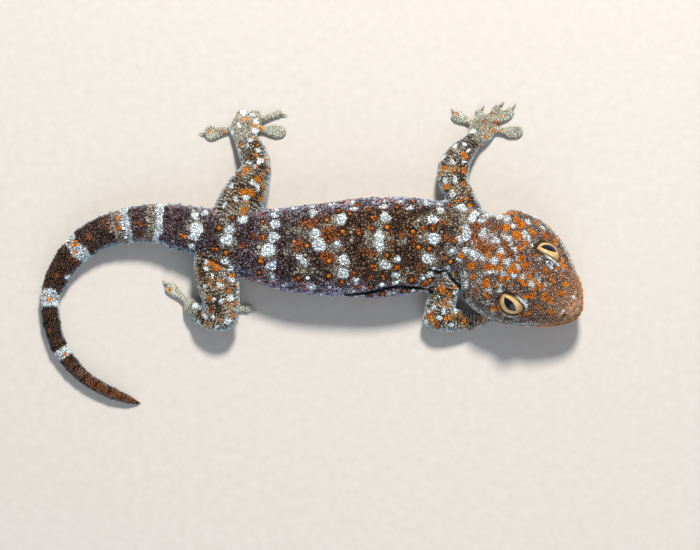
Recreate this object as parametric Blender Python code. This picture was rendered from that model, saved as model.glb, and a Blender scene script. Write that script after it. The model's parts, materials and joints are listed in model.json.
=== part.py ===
"""Tokay gecko at life size: it lies flat with its head towards +X, its left legs
towards +Y, and its tail curled round behind it.

Run it with: blender --background --python part.py
The tables are in millimetres and the scene is in metres, with +Z up and the floor at zero.
"""

import math
import random
from dataclasses import dataclass

import bmesh
import bpy
import numpy as np
from mathutils import Vector

MM = 0.001
GAP = 0.3
NAME = "tokay_gecko"


@dataclass(frozen=True)
class Station:
    """One cross-section: its centre on the plan, its half width, and its highest and lowest points."""

    x: float
    y: float
    half_width: float
    top: float
    bottom: float = 0.0


@dataclass(frozen=True)
class HeadStation:
    """One cross-section of the head, placed ahead of the line between the eyes."""

    ahead: float
    half_width: float
    crown: float
    chin: float
    roundness: float


@dataclass(frozen=True)
class Toe:
    """A toe: the middle of its pad, its tip, the pad's half width, and whether it bears a claw."""

    pad_x: float
    pad_y: float
    tip_x: float
    tip_y: float
    half_width: float
    claw: bool = True


# The tail, trunk and neck as one line of sections, from the tip of the tail forwards.
BODY = (
    Station(-79.6, -48.8, 0.5, 1.5),
    Station(-82.5, -47.7, 1.7, 3.0),
    Station(-87.4, -46.0, 2.3, 4.0),
    Station(-94.6, -42.6, 2.7, 4.8),
    Station(-102.2, -37.3, 2.9, 5.3),
    Station(-110.4, -26.4, 3.3, 6.0),
    Station(-113.6, -11.7, 3.7, 7.0),
    Station(-111.8, -3.6, 4.4, 8.0),
    Station(-106.6, 5.7, 5.2, 9.3),
    Station(-98.4, 13.2, 6.0, 10.5),
    Station(-88.6, 17.4, 6.5, 11.4),
    Station(-75.8, 19.2, 7.3, 12.6),
    Station(-66.0, 17.8, 8.5, 13.8),
    Station(-56.6, 15.6, 9.6, 15.2),
    Station(-47.2, 12.8, 10.8, 16.8),
    Station(-37.7, 10.6, 13.2, 18.2),
    Station(-28.3, 9.4, 15.3, 19.6),
    Station(-18.9, 8.6, 16.9, 20.6),
    Station(-7.5, 8.8, 17.9, 21.2),
    Station(3.8, 9.3, 19.0, 21.2),
    Station(13.2, 9.6, 19.3, 20.8),
    Station(22.6, 10.3, 18.5, 20.4),
    Station(31.4, 11.4, 16.9, 20.2),
    Station(38.0, 13.0, 13.9, 19.6),
    Station(42.4, 12.7, 13.0, 19.6, 0.6),
    Station(46.3, 11.0, 13.6, 20.0, 1.8),
)
# Where the line is parted: the name of each length, and the station that it ends at.
LENGTHS = (
    ("tail_tip", 3.5),
    ("tail_end", 6.2),
    ("tail_middle", 9.6),
    ("tail_base", 12.9),
    ("torso", 23.75),
    ("neck", 25.0),
)
TAIL_RING_STEP = 4.3
TRUNK_RING_STEP = {"torso": 4.8, "neck": 3.0}
# A section that reaches lower than this is sunk a little and cut off flat at the floor.
FLAT_BELOW = 0.05
FLAT_SUNK = 0.6
# How far a grown copy that cuts a leg's root laps the next one, in stations.
CUTTER_LAP = 0.2
TAIL_SIDES = 16
TRUNK_SIDES = 26
# The turn of the flat end of the torso and of the back of the head, in degrees from +X, and
# how many stations before its end the torso starts to turn.
TORSO_END_HEADING = -12.0
TORSO_TURN_STATIONS = 1.5
HEAD_BACK_HEADING = -24.0

# Tubercles stand in rows across the trunk and in whorls round the tail. The angles run from
# the animal's left side over its back to its right side, and every other row is shifted.
TRUNK_ROW_STEP = 5.4
TRUNK_ROW_ANGLES = (18, 42, 64, 90, 116, 138, 162)
TRUNK_TUBERCLE_RADIUS = 0.95
TRUNK_TUBERCLE_HEIGHT = 0.75
TAIL_WHORL_STEP = 8.8
TAIL_WHORL_ANGLES = (8, 50, 130, 172)
TAIL_TUBERCLE_RADIUS = 0.9
TAIL_TUBERCLE_HEIGHT = 0.7
TUBERCLE_SIDES = 5
TUBERCLE_SUNK = 0.6
TUBERCLE_BLUNTNESS = 0.35
TUBERCLE_SPREAD = 0.18
TUBERCLE_JITTER = 2.0
TUBERCLE_SEED = 7
# On a tail narrower than this the tubercles shrink with it.
TUBERCLE_FULL_HALF_WIDTH = 4.5
LEG_CLEARANCE = 2.4

# The head is symmetric about a line through the middle of the eyes.
HEAD_MIDDLE = (66.9, -2.7)
HEAD_HEADING = -34.7
HEAD = (
    HeadStation(-24.7, 13.7, 20.0, 1.9, 2.1),
    HeadStation(-20.0, 17.6, 22.0, 2.4, 2.1),
    HeadStation(-16.0, 20.0, 23.4, 2.9, 2.0),
    HeadStation(-11.0, 21.2, 24.8, 3.4, 1.9),
    HeadStation(-7.2, 21.3, 25.4, 3.8, 1.8),
    HeadStation(-2.3, 20.6, 25.6, 4.2, 1.75),
    HeadStation(3.0, 18.8, 25.0, 4.6, 1.75),
    HeadStation(8.0, 16.0, 23.2, 5.0, 1.9),
    HeadStation(14.4, 11.8, 19.9, 5.3, 2.1),
    HeadStation(19.4, 7.6, 17.0, 6.0, 2.4),
    HeadStation(22.0, 4.4, 15.2, 6.8, 2.4),
    HeadStation(23.3, 2.0, 13.6, 7.8, 2.3),
)
HEAD_RING_STEP = 2.1
# The angles of a section's points, from the crown round to the chin, with the mouth at 90.
HEAD_ANGLES = (0, 13, 26, 39, 52, 65, 76, 85, 90, 95, 104, 120, 138, 158, 180)
MOUTH_ANGLE = 90
MOUTH_HEIGHT_BACK = 10.8
MOUTH_HEIGHT_FRONT = 9.6
MOUTH_CORNER_AHEAD = -11.0
MOUTH_DEPTH = 0.7
MOUTH_MOST_SHARE = 0.4
MOUTH_DEEPENING = 3.0
LEAST_LOWER_JAW = 0.4
LEAST_UPPER_JAW = 0.6
BROW_DIP = 0.7
BROW_DIP_AHEAD = 2.0
BROW_DIP_REACH = 7.7

EYE_RADIUS = 5.6
# The head leans a little to its right, which carries both eyes with it. Each eye's centre:
# how far ahead, to the left, and how high.
EYES = {"left": (0.3, 9.2, 18.2), "right": (-0.3, -10.6, 17.5)}
EYE_TILT = 55.0
LID_RADIUS = 4.9
LID_THICKNESS = 0.95
LID_RAISE = 3.4
NOSTRIL_AHEAD = 18.4
NOSTRIL_SIDE = 4.3
NOSTRIL_HEIGHT = 16.5
NOSTRIL_RADIUS = 0.85
EAR_AHEAD = -18.0
EAR_SIDE = 19.0
EAR_HEIGHT = 13.0
EAR_HALF_SIZES = (1.1, 1.6, 2.5)

# Each leg as one or two lines of sections, joined, from inside the trunk to the wrist or ankle.
LEGS = {
    "leg_fore_left": (
        (
            Station(43.4, 17.0, 5.4, 14.0, 3.4),
            Station(44.4, 22.5, 6.0, 13.8, 3.2),
            Station(42.2, 28.0, 5.5, 12.8, 2.8),
            Station(39.4, 33.4, 6.0, 11.8, 2.2),
            Station(38.9, 38.6, 6.4, 10.6, 1.6),
            Station(41.6, 45.0, 5.6, 8.6, 1.0),
            Station(47.0, 51.0, 3.8, 5.8, 0.5),
        ),
    ),
    "leg_hind_left": (
        (
            Station(-46.2, 13.5, 7.6, 14.2, 3.0),
            Station(-43.6, 21.9, 8.8, 14.0, 2.6),
            Station(-39.1, 31.0, 8.4, 13.6, 2.4),
            Station(-35.4, 39.6, 6.1, 12.2, 2.2),
            Station(-37.2, 46.4, 5.7, 9.6, 1.2),
            Station(-39.8, 51.4, 4.8, 6.6, 0.6),
        ),
    ),
    "leg_fore_right": (
        (
            Station(35.2, 7.0, 5.6, 14.0, 3.4),
            Station(35.0, 0.3, 6.2, 13.8, 3.4),
            Station(35.4, -5.8, 6.0, 13.0, 3.0),
            Station(34.0, -12.0, 5.8, 12.0, 2.2),
            Station(32.8, -16.8, 5.4, 10.6, 1.4),
            Station(32.2, -20.0, 3.4, 9.4, 2.2),
            Station(32.0, -21.6, 1.2, 7.6, 4.2),
        ),
        (
            Station(27.2, -16.9, 1.6, 7.6, 3.4),
            Station(29.4, -17.1, 3.8, 9.2, 1.8),
            Station(33.0, -17.4, 4.6, 10.0, 1.2),
            Station(38.6, -17.6, 4.6, 9.0, 1.0),
            Station(44.6, -17.9, 3.9, 7.0, 0.7),
            Station(49.2, -17.2, 3.0, 5.2, 0.5),
        ),
    ),
    "leg_hind_right": (
        (
            Station(-48.8, 12.0, 7.6, 14.2, 3.4),
            Station(-50.6, 4.5, 8.6, 14.2, 3.4),
            Station(-50.0, -2.0, 8.5, 14.2, 3.8),
            Station(-48.6, -9.5, 7.5, 14.2, 4.4),
            Station(-48.2, -15.8, 6.6, 13.4, 4.6),
            Station(-48.0, -20.0, 4.2, 11.8, 5.2),
            Station(-48.0, -21.7, 1.5, 9.6, 6.8),
        ),
        (
            Station(-41.8, -15.6, 1.6, 10.0, 6.4),
            Station(-44.2, -16.6, 4.2, 12.0, 5.0),
            Station(-48.4, -17.2, 5.2, 12.6, 4.4),
            Station(-53.0, -16.8, 5.0, 11.0, 4.2),
            Station(-57.2, -14.4, 4.2, 8.0, 4.0),
        ),
    ),
}
LIMB_SIDES = 14
LIMB_RING_STEP = 3.4
PALM_RING_STEP = 2.6

# Each palm or sole runs on from the end of its leg.
PALMS = {
    "foot_fore_left": (
        Station(47.0, 51.0, 3.7, 5.7, 0.0),
        Station(49.2, 53.8, 4.7, 4.8, 0.0),
        Station(51.4, 57.2, 5.2, 3.8, 0.0),
        Station(53.0, 59.8, 3.8, 2.8, 0.0),
        Station(53.8, 61.2, 1.4, 1.6, 0.0),
    ),
    "foot_hind_left": (
        Station(-39.8, 51.4, 4.7, 6.5, 0.0),
        Station(-40.2, 54.2, 5.4, 5.2, 0.0),
        Station(-39.9, 57.6, 5.6, 4.0, 0.0),
        Station(-39.2, 60.4, 4.2, 2.9, 0.0),
        Station(-38.9, 61.8, 1.6, 1.6, 0.0),
    ),
    "foot_fore_right": (
        Station(49.2, -17.2, 2.9, 5.1, 0.0),
        Station(51.5, -15.4, 3.8, 4.4, 0.0),
        Station(54.5, -12.9, 4.3, 3.6, 0.0),
        Station(57.1, -11.0, 3.4, 2.8, 0.0),
        Station(58.4, -10.1, 1.4, 1.6, 0.0),
    ),
    "foot_hind_right": (
        Station(-57.2, -14.4, 4.1, 7.8, 0.0),
        Station(-59.6, -12.6, 3.9, 6.0, 0.0),
        Station(-61.6, -11.2, 3.0, 3.8, 0.0),
        Station(-62.6, -10.4, 1.3, 2.0, 0.0),
    ),
}
# The sole of the right hind foot reaches forwards again, beneath the shin.
SOLE_UNDER_SHIN = (
    Station(-62.2, -12.0, 1.6, 2.2, 0.0),
    Station(-60.0, -12.8, 3.8, 3.1, 0.0),
    Station(-55.6, -13.2, 4.9, 3.2, 0.0),
    Station(-51.6, -13.4, 3.8, 2.8, 0.0),
    Station(-49.8, -13.4, 1.4, 1.8, 0.0),
)
TOE_HUBS = {
    "foot_fore_left": (51.2, 56.6),
    "foot_hind_left": (-39.9, 57.0),
    "foot_fore_right": (54.6, -12.8),
    "foot_hind_right": (-57.4, -13.8),
}
TOES = {
    "foot_fore_left": (
        Toe(41.1, 60.7, 38.5, 64.3, 2.7),
        Toe(49.2, 62.0, 51.6, 65.4, 1.8),
        Toe(55.9, 63.4, 59.3, 66.8, 1.8),
        Toe(60.0, 61.0, 63.6, 66.0, 2.2),
        Toe(61.9, 54.4, 66.1, 55.5, 2.7, False),
    ),
    "foot_hind_left": (
        Toe(-52.3, 54.4, -58.1, 54.2, 3.1),
        Toe(-41.0, 61.2, -41.3, 63.6, 2.5, False),
        Toe(-36.2, 61.4, -35.8, 63.4, 2.3, False),
        Toe(-27.4, 62.0, -23.6, 61.2, 1.6),
        Toe(-28.6, 54.9, -24.3, 55.0, 2.8, False),
    ),
    "foot_fore_right": (
        Toe(64.6, -14.4, 68.6, -15.0, 2.4),
        Toe(64.4, -8.4, 68.4, -6.6, 2.4),
        Toe(59.6, -3.8, 61.8, -0.2, 2.4),
        Toe(52.8, -4.2, 52.2, -0.4, 2.2),
        Toe(47.2, -9.0, 44.8, -7.4, 2.1, False),
    ),
    "foot_hind_right": (
        Toe(-67.4, -5.9, -71.4, -1.9, 2.6),
        Toe(-55.6, -18.4, -55.4, -20.4, 2.0, False),
        Toe(-50.0, -18.2, -48.6, -20.4, 1.8, False),
        Toe(-44.6, -16.2, -42.0, -18.4, 1.8),
        Toe(-39.0, -12.9, -35.2, -13.7, 1.7),
    ),
}
TOE_SIDES = 8
TOE_PLACES = (0.0, 0.6, 1.3, 2.0, 2.8, 3.5, 4.3, 5.0)
# How far from the palm's hub to the pad a toe starts, and where it is narrowest.
TOE_ROOT = 0.3
TOE_NECK = 0.62
TOE_NECK_HALF_WIDTH = 1.35
TOE_ROOT_HEIGHT = 2.6
TOE_NECK_HEIGHT = 2.2
PAD_HEIGHT = 1.7
PAD_TIP_HEIGHT = 1.0
CLAW_LENGTH = 2.4
CLAW_RADIUS = 0.55
CLAW_SIDES = 6
# A claw's sections: how far along, its height, and its share of the radius. The first is
# sunk in the pad, and the rest are shares of the claw's length.
CLAW_ROOT = (-1.2, 0.9, 1.0)
CLAW_SECTIONS = ((0.3, 1.3, 0.85), (0.65, 1.1, 0.5), (1.0, 0.45, 0.16))
SMOOTH_ANGLE = 50

# Skin colours: red, green and blue, roughness.
SKIN = {
    "tail_tip": ((0.10, 0.07, 0.05), 0.6),
    "tail_end": ((0.13, 0.10, 0.08), 0.6),
    "tail_middle": ((0.16, 0.13, 0.11), 0.6),
    "tail_base": ((0.20, 0.17, 0.16), 0.6),
    "torso": ((0.17, 0.12, 0.11), 0.6),
    "neck": ((0.20, 0.15, 0.12), 0.6),
    "head": ((0.30, 0.17, 0.08), 0.55),
    "leg": ((0.26, 0.20, 0.16), 0.6),
    "foot": ((0.48, 0.47, 0.40), 0.6),
}
EYE_COLOUR = ((0.50, 0.33, 0.12), 0.15)


def clear_scene():
    """Removes whatever the file opened with."""
    for obj in list(bpy.data.objects):
        bpy.data.objects.remove(obj, do_unlink=True)


def new_collection(name):
    """Makes a collection in the scene."""
    collection = bpy.data.collections.new(name)
    bpy.context.scene.collection.children.link(collection)
    return collection


def material(name, colour, roughness):
    """A plain Principled finish."""
    made = bpy.data.materials.new(name)
    made.use_nodes = True
    shader = made.node_tree.nodes["Principled BSDF"]
    shader.inputs["Base Color"].default_value = (*colour, 1.0)
    shader.inputs["Roughness"].default_value = roughness
    shader.inputs["Metallic"].default_value = 0.0
    made.diffuse_color = (*colour, 1.0)
    return made


def table(stations):
    """The stations' numbers, one row each."""
    return np.array([(s.x, s.y, s.half_width, s.top, s.bottom) for s in stations])


def through(rows, place):
    """The row at a fractional place among the rows, on a smooth curve through them all."""
    last = len(rows) - 1
    first = min(int(place), last - 1)
    part = place - first
    before = rows[first - 1] if first > 0 else 2 * rows[0] - rows[1]
    after = rows[first + 2] if first + 2 <= last else 2 * rows[last] - rows[last - 1]
    start, end = rows[first], rows[first + 1]
    leaving, arriving = (end - before) / 2, (after - start) / 2
    return (
        (2 * part**3 - 3 * part**2 + 1) * start
        + (part**3 - 2 * part**2 + part) * leaving
        + (3 * part**2 - 2 * part**3) * end
        + (part**3 - part**2) * arriving
    )


def heading_at(rows, place):
    """The direction of the line at a place, in radians from +X."""
    step = 0.02
    ahead = through(rows, min(place + step, len(rows) - 1))
    behind = through(rows, max(place - step, 0))
    return math.atan2(ahead[1] - behind[1], ahead[0] - behind[0])


def places_between(rows, start, end, step):
    """Places from start to end whose sections stand about a step apart."""
    fine = np.linspace(start, end, 200)
    points = np.array([through(rows, place)[:2] for place in fine])
    run = np.concatenate([[0.0], np.cumsum(np.linalg.norm(np.diff(points, axis=0), axis=1))])
    count = max(2, round(run[-1] / step) + 1)
    return list(np.interp(np.linspace(0.0, run[-1], count), run, fine))


def section_point(row, heading, angle, belt=0.45, over=2.1, under=2.6):
    """A point of a section, by its angle from the animal's left side up and over.

    belt is how high up the widest point is, and over and under are the superellipse powers.
    """
    x, y, half_width, top, bottom = row
    middle = bottom + (top - bottom) * belt
    sunk = FLAT_SUNK if bottom < FLAT_BELOW else 0.0
    side, rise = math.cos(angle), math.sin(angle)
    power = 2 / (over if rise > 0 else under)
    reach = (top - middle) if rise > 0 else (middle - bottom + sunk)
    out = math.copysign(abs(side) ** power, side) * half_width
    height = middle + math.copysign(abs(rise) ** power, rise) * reach
    return Vector((x - math.sin(heading) * out, y + math.cos(heading) * out, max(height, 0.0)))


def section(row, heading, sides, belt=0.45, over=2.1, under=2.6):
    """A closed ring of points: rounded above, fuller below, and flat where it meets the floor."""
    angles = [2 * math.pi * (i + 0.5) / sides for i in range(sides)]
    return [section_point(row, heading, angle, belt, over, under) for angle in angles]


def loft(name, rings):
    """A closed mesh object through rings of equally many points, flat at both ends."""
    mesh = bpy.data.meshes.new(name)
    shape = bmesh.new()
    loops = [[shape.verts.new(point * MM) for point in ring] for ring in rings]
    for lower, upper in zip(loops, loops[1:]):
        for i in range(len(lower)):
            k = (i + 1) % len(lower)
            shape.faces.new((lower[i], lower[k], upper[k], upper[i]))
    shape.faces.new(list(reversed(loops[0])))
    shape.faces.new(loops[-1])
    bmesh.ops.recalc_face_normals(shape, faces=shape.faces)
    shape.to_mesh(mesh)
    shape.free()
    obj = bpy.data.objects.new(name, mesh)
    bpy.context.scene.collection.objects.link(obj)
    return obj


def limb(name, stations, step, sides, belt=0.5, over=2.0, under=2.2, facing=None):
    """A loft along a short line of stations.

    With facing, the first section keeps that heading and stands off its place by the gap.
    """
    rows = table(stations)
    rings = []
    for place in places_between(rows, 0.0, len(rows) - 1, step):
        row, heading = through(rows, place), heading_at(rows, place)
        if place == 0.0 and facing is not None:
            heading = facing
            row[0] += GAP * math.cos(heading)
            row[1] += GAP * math.sin(heading)
        rings.append(section(row, heading, sides, belt, over, under))
    return loft(name, rings)


def combine(target, others, operation):
    """Joins other objects to the target, or cuts them from it, and removes them.

    The exact solver leaves a leg inside out where its root cut grazes the neck, so the manifold
    solver is used throughout.
    """
    tools = new_collection("tools")
    for obj in others:
        for holder in list(obj.users_collection):
            holder.objects.unlink(obj)
        tools.objects.link(obj)
    modifier = target.modifiers.new("combine", "BOOLEAN")
    modifier.operation = operation
    modifier.solver = "MANIFOLD"
    modifier.operand_type = "COLLECTION"
    modifier.collection = tools
    bpy.context.view_layer.update()
    graph = bpy.context.evaluated_depsgraph_get()
    joined = bpy.data.meshes.new_from_object(target.evaluated_get(graph))
    target.modifiers.remove(modifier)
    target.data = joined
    for obj in others:
        bpy.data.objects.remove(obj, do_unlink=True)
    bpy.data.collections.remove(tools)
    keep_largest(target)


def keep_largest(obj):
    """Drops all but the largest closed surface of an object."""
    shape = bmesh.new()
    shape.from_mesh(obj.data)
    left = set(shape.verts)
    pieces = []
    while left:
        edge = [left.pop()]
        piece = set(edge)
        while edge:
            vertex = edge.pop()
            for link in vertex.link_edges:
                other = link.other_vert(vertex)
                if other in left:
                    left.remove(other)
                    piece.add(other)
                    edge.append(other)
        pieces.append(piece)
    largest = max(pieces, key=len)
    scraps = [v for piece in pieces if piece is not largest for v in piece]
    bmesh.ops.delete(shape, geom=scraps, context="VERTS")
    shape.to_mesh(obj.data)
    shape.free()


def body_heading(rows, place, name):
    """The heading of a trunk section, turned so that parted ends lie parallel."""
    heading = heading_at(rows, place)
    ends = {label: end for label, end in LENGTHS}
    torso_end, neck_end = ends["torso"], ends["neck"]
    if name == "torso" and place > torso_end - TORSO_TURN_STATIONS:
        share = (place - torso_end) / TORSO_TURN_STATIONS + 1.0
        return heading + share * (math.radians(TORSO_END_HEADING) - heading)
    if name == "neck":
        share = (place - torso_end) / (neck_end - torso_end)
        return math.radians(TORSO_END_HEADING + share * (HEAD_BACK_HEADING - TORSO_END_HEADING))
    return heading


def body_length(name, start, end, grow=0.0):
    """One length of tail, trunk or neck, parted from the next by the gap."""
    rows = table(BODY)
    places = places_between(rows, start, end, TRUNK_RING_STEP.get(name, TAIL_RING_STEP))
    if grow:
        places = [max(start - CUTTER_LAP, 0.0), *places, min(end + CUTTER_LAP, len(rows) - 1)]
    sides = TAIL_SIDES if name.startswith("tail") else TRUNK_SIDES
    rings = []
    for number, place in enumerate(places):
        row = through(rows, place)
        heading = body_heading(rows, place, name)
        if number == 0 and start > 0 and not grow:
            row[0] += math.cos(heading) * GAP / 2
            row[1] += math.sin(heading) * GAP / 2
        if number == len(places) - 1 and not grow:
            row[0] -= math.cos(heading) * GAP / 2
            row[1] -= math.sin(heading) * GAP / 2
        row[2:4] += grow
        row[4] -= grow
        rings.append(section(row, heading, sides))
    return loft(name, rings)


def head_frame(ahead):
    """The centre and the across direction of a head section."""
    turn = math.radians(HEAD_HEADING)
    centre = Vector((HEAD_MIDDLE[0], HEAD_MIDDLE[1], 0.0))
    centre += Vector((math.cos(turn), math.sin(turn), 0.0)) * ahead
    blend = min(max((HEAD[2].ahead - ahead) / (HEAD[2].ahead - HEAD[0].ahead), 0.0), 1.0)
    heading = math.radians(HEAD_HEADING + blend * (HEAD_BACK_HEADING - HEAD_HEADING))
    return centre, Vector((-math.sin(heading), math.cos(heading), 0.0)), heading


def head_point(ahead, side, height):
    """A place on or in the head, with side positive on the left."""
    centre, across, _ = head_frame(ahead)
    return centre + across * side + Vector((0.0, 0.0, height))


def mouth_height(ahead):
    """How high the line of the mouth lies."""
    span = HEAD[-1].ahead - MOUTH_CORNER_AHEAD
    share = min(max((ahead - MOUTH_CORNER_AHEAD) / span, 0.0), 1.0)
    return MOUTH_HEIGHT_BACK + share * (MOUTH_HEIGHT_FRONT - MOUTH_HEIGHT_BACK)


def head_section(row, grow=0.0):
    """A ring of the head: crown, brow, cheek, upper lip, mouth, lower lip and chin."""
    ahead, half_width, crown, chin, roundness = row
    middle = min(max(mouth_height(ahead), chin + LEAST_LOWER_JAW), crown - LEAST_UPPER_JAW)
    opening = min(max((ahead - MOUTH_CORNER_AHEAD) / MOUTH_DEEPENING, 0.0), 1.0)
    dip = BROW_DIP * math.exp(-(((ahead - BROW_DIP_AHEAD) / BROW_DIP_REACH) ** 2))
    ring = []
    for side, angles in ((1, HEAD_ANGLES), (-1, HEAD_ANGLES[-2:0:-1])):
        for angle in angles:
            turn = math.radians(angle)
            out = half_width * abs(math.sin(turn)) ** (2 / roundness)
            if angle == MOUTH_ANGLE:
                out -= min(MOUTH_DEPTH, MOUTH_MOST_SHARE * half_width) * opening
            power = 2 / (roundness if angle < MOUTH_ANGLE else 2.0)
            reach = crown - middle if angle < MOUTH_ANGLE else middle - chin
            rise = math.copysign(abs(math.cos(turn)) ** power, math.cos(turn)) * reach
            if angle == 0:
                rise -= dip
            if angle != MOUTH_ANGLE:
                out += grow
                rise += math.copysign(grow, rise)
            ring.append(head_point(ahead, side * out, middle + rise))
    return ring


def head_shell(name, grow=0.0):
    """The head's closed form, without its eyes."""
    rows = np.array([(s.ahead, s.half_width, s.crown, s.chin, s.roundness) for s in HEAD])
    length = HEAD[-1].ahead - HEAD[0].ahead
    count = round(length / HEAD_RING_STEP)
    wanted = np.linspace(HEAD[0].ahead, HEAD[-1].ahead, count)
    fine = np.linspace(0, len(rows) - 1, 400)
    known = [through(rows, place)[0] for place in fine]
    rings = []
    for ahead in wanted:
        row = through(rows, float(np.interp(ahead, known, fine)))
        if ahead == wanted[0]:
            row[0] += GAP / 2 - 3 * grow
        rings.append(head_section(row, grow))
    return loft(name, rings)


def eye_axis(side):
    """The way an eye looks out of the head."""
    _, across, _ = head_frame(0.0)
    tilt = math.radians(EYE_TILT)
    return (across * side * math.cos(tilt) + Vector((0.0, 0.0, math.sin(tilt)))).normalized()


def ball(name, centre, radius, segments=16, rings=10, turn=None, sizes=(1.0, 1.0, 1.0)):
    """A closed ball or, with sizes, an egg turned by a rotation."""
    mesh = bpy.data.meshes.new(name)
    shape = bmesh.new()
    bmesh.ops.create_uvsphere(shape, u_segments=segments, v_segments=rings, radius=radius * MM)
    bmesh.ops.scale(shape, vec=Vector(sizes), verts=shape.verts)
    if turn is not None:
        bmesh.ops.rotate(shape, cent=Vector(), matrix=turn, verts=shape.verts)
    bmesh.ops.translate(shape, vec=centre * MM, verts=shape.verts)
    shape.to_mesh(mesh)
    shape.free()
    obj = bpy.data.objects.new(name, mesh)
    bpy.context.scene.collection.objects.link(obj)
    return obj


def lid_ring(name, centre, axis):
    """The raised rim round an eye."""
    bpy.ops.mesh.primitive_torus_add(
        major_segments=22,
        minor_segments=8,
        major_radius=LID_RADIUS * MM,
        minor_radius=LID_THICKNESS * MM,
    )
    ring = bpy.context.object
    ring.name = name
    turn = Vector((0.0, 0.0, 1.0)).rotation_difference(axis).to_matrix().to_4x4()
    ring.data.transform(turn)
    for vertex in ring.data.vertices:
        vertex.co += (centre + axis * LID_RAISE) * MM
    return ring


def build_head():
    """The head with its lids, sockets, nostrils and ears, and the two eyes."""
    head = head_shell("head")
    lids, cutters, eyes = [], [], []
    for label, side in (("left", 1), ("right", -1)):
        centre = head_point(*EYES[label])
        lids.append(lid_ring("lid", centre, eye_axis(side)))
        cutters.append(ball("socket", centre, EYE_RADIUS + GAP))
        nostril = head_point(NOSTRIL_AHEAD, side * NOSTRIL_SIDE, NOSTRIL_HEIGHT)
        cutters.append(ball("nostril", nostril, NOSTRIL_RADIUS, 8, 6))
        ear = head_point(EAR_AHEAD, side * EAR_SIDE, EAR_HEIGHT)
        cutters.append(ball("ear", ear, 1.0, 10, 8, sizes=EAR_HALF_SIZES))
        eyes.append(ball("eye_" + label, centre, EYE_RADIUS))
    combine(head, lids, "UNION")
    combine(head, cutters, "DIFFERENCE")
    return head, eyes


def toe_loft(hub, toe):
    """One toe, from inside the palm to the round end of its pad, flat on the floor."""
    hub, pad, tip = Vector(hub), Vector((toe.pad_x, toe.pad_y)), Vector((toe.tip_x, toe.tip_y))
    end = tip - (tip - pad).normalized() * (CLAW_LENGTH if toe.claw else 0.0)
    root = hub.lerp(pad, TOE_ROOT)
    neck = hub.lerp(pad, TOE_NECK)
    wide, narrow = toe.half_width, min(TOE_NECK_HALF_WIDTH, toe.half_width * 0.75)
    points = (
        Station(*root, narrow * 1.1, TOE_ROOT_HEIGHT),
        Station(*neck, narrow, TOE_NECK_HEIGHT),
        Station(*pad.lerp(neck, 0.25), wide * 0.9, PAD_HEIGHT),
        Station(*pad.lerp(end, 0.35), wide, PAD_HEIGHT),
        Station(*pad.lerp(end, 0.85), wide * 0.66, PAD_TIP_HEIGHT + 0.3),
        Station(*end, wide * 0.2, PAD_TIP_HEIGHT),
    )
    rows = table(points)
    rings = [section(through(rows, p), heading_at(rows, p), TOE_SIDES, 0.4) for p in TOE_PLACES]
    pieces = [loft("toe", rings)]
    if toe.claw:
        pieces.append(claw(end, tip))
    return pieces


def claw(start, tip):
    """A short claw that rises from the end of a pad and hooks down to a point."""
    along = (tip - start).normalized()
    heading = math.atan2(along.y, along.x)
    rings = []
    for number, (share, height, width) in enumerate((CLAW_ROOT, *CLAW_SECTIONS)):
        x, y = start + along * share * (CLAW_LENGTH if number else 1.0)
        radius = CLAW_RADIUS * width
        row = (x, y, radius, height + radius, max(height - radius, 0.1))
        rings.append(section(row, heading, CLAW_SIDES, 0.5, 2.0, 2.0))
    return loft("claw", rings)


def build_foot(name):
    """A palm or sole with its five toes and their claws."""
    shin = table(LEGS[name.replace("foot", "leg")][-1])
    palm = limb(name, PALMS[name], PALM_RING_STEP, LIMB_SIDES, 0.4, facing=heading_at(shin, len(shin) - 1))
    pieces = [piece for toe in TOES[name] for piece in toe_loft(TOE_HUBS[name], toe)]
    if name == "foot_hind_right":
        pieces.append(limb("sole", SOLE_UNDER_SHIN, PALM_RING_STEP, LIMB_SIDES, 0.4))
    combine(palm, pieces, "UNION")
    return palm


def build_leg(name):
    """A leg, with its root cut to the form of the trunk, neck and head that it lies against."""
    upper, *lower = LEGS[name]
    leg = limb(name, upper, LIMB_RING_STEP, LIMB_SIDES)
    if lower:
        combine(leg, [limb("shin", lower[0], LIMB_RING_STEP, LIMB_SIDES)], "UNION")
    starts = dict(zip([label for label, _ in LENGTHS], [0.0] + [end for _, end in LENGTHS]))
    ends = dict(LENGTHS)
    beside = ["torso", "tail_base"] if "hind" in name else ["torso", "neck"]
    for label in beside:
        combine(leg, [body_length(label, starts[label], ends[label], GAP)], "DIFFERENCE")
    if "fore" in name:
        combine(leg, [head_shell("near_head", GAP)], "DIFFERENCE")
    return leg


def tubercle(place, outward, radius, height):
    """A low blunt cone, its root sunk in the skin."""
    mesh = bpy.data.meshes.new("tubercle")
    shape = bmesh.new()
    depth = (height + TUBERCLE_SUNK) * MM
    bmesh.ops.create_cone(
        shape,
        cap_ends=True,
        segments=TUBERCLE_SIDES,
        radius1=radius * MM,
        radius2=radius * TUBERCLE_BLUNTNESS * MM,
        depth=depth,
    )
    turn = Vector((0.0, 0.0, 1.0)).rotation_difference(outward)
    bmesh.ops.translate(shape, vec=Vector((0.0, 0.0, depth / 2 - TUBERCLE_SUNK * MM)), verts=shape.verts)
    bmesh.ops.rotate(shape, cent=Vector(), matrix=turn.to_matrix(), verts=shape.verts)
    bmesh.ops.translate(shape, vec=place * MM, verts=shape.verts)
    shape.to_mesh(mesh)
    shape.free()
    obj = bpy.data.objects.new("tubercle", mesh)
    bpy.context.scene.collection.objects.link(obj)
    return obj


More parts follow.
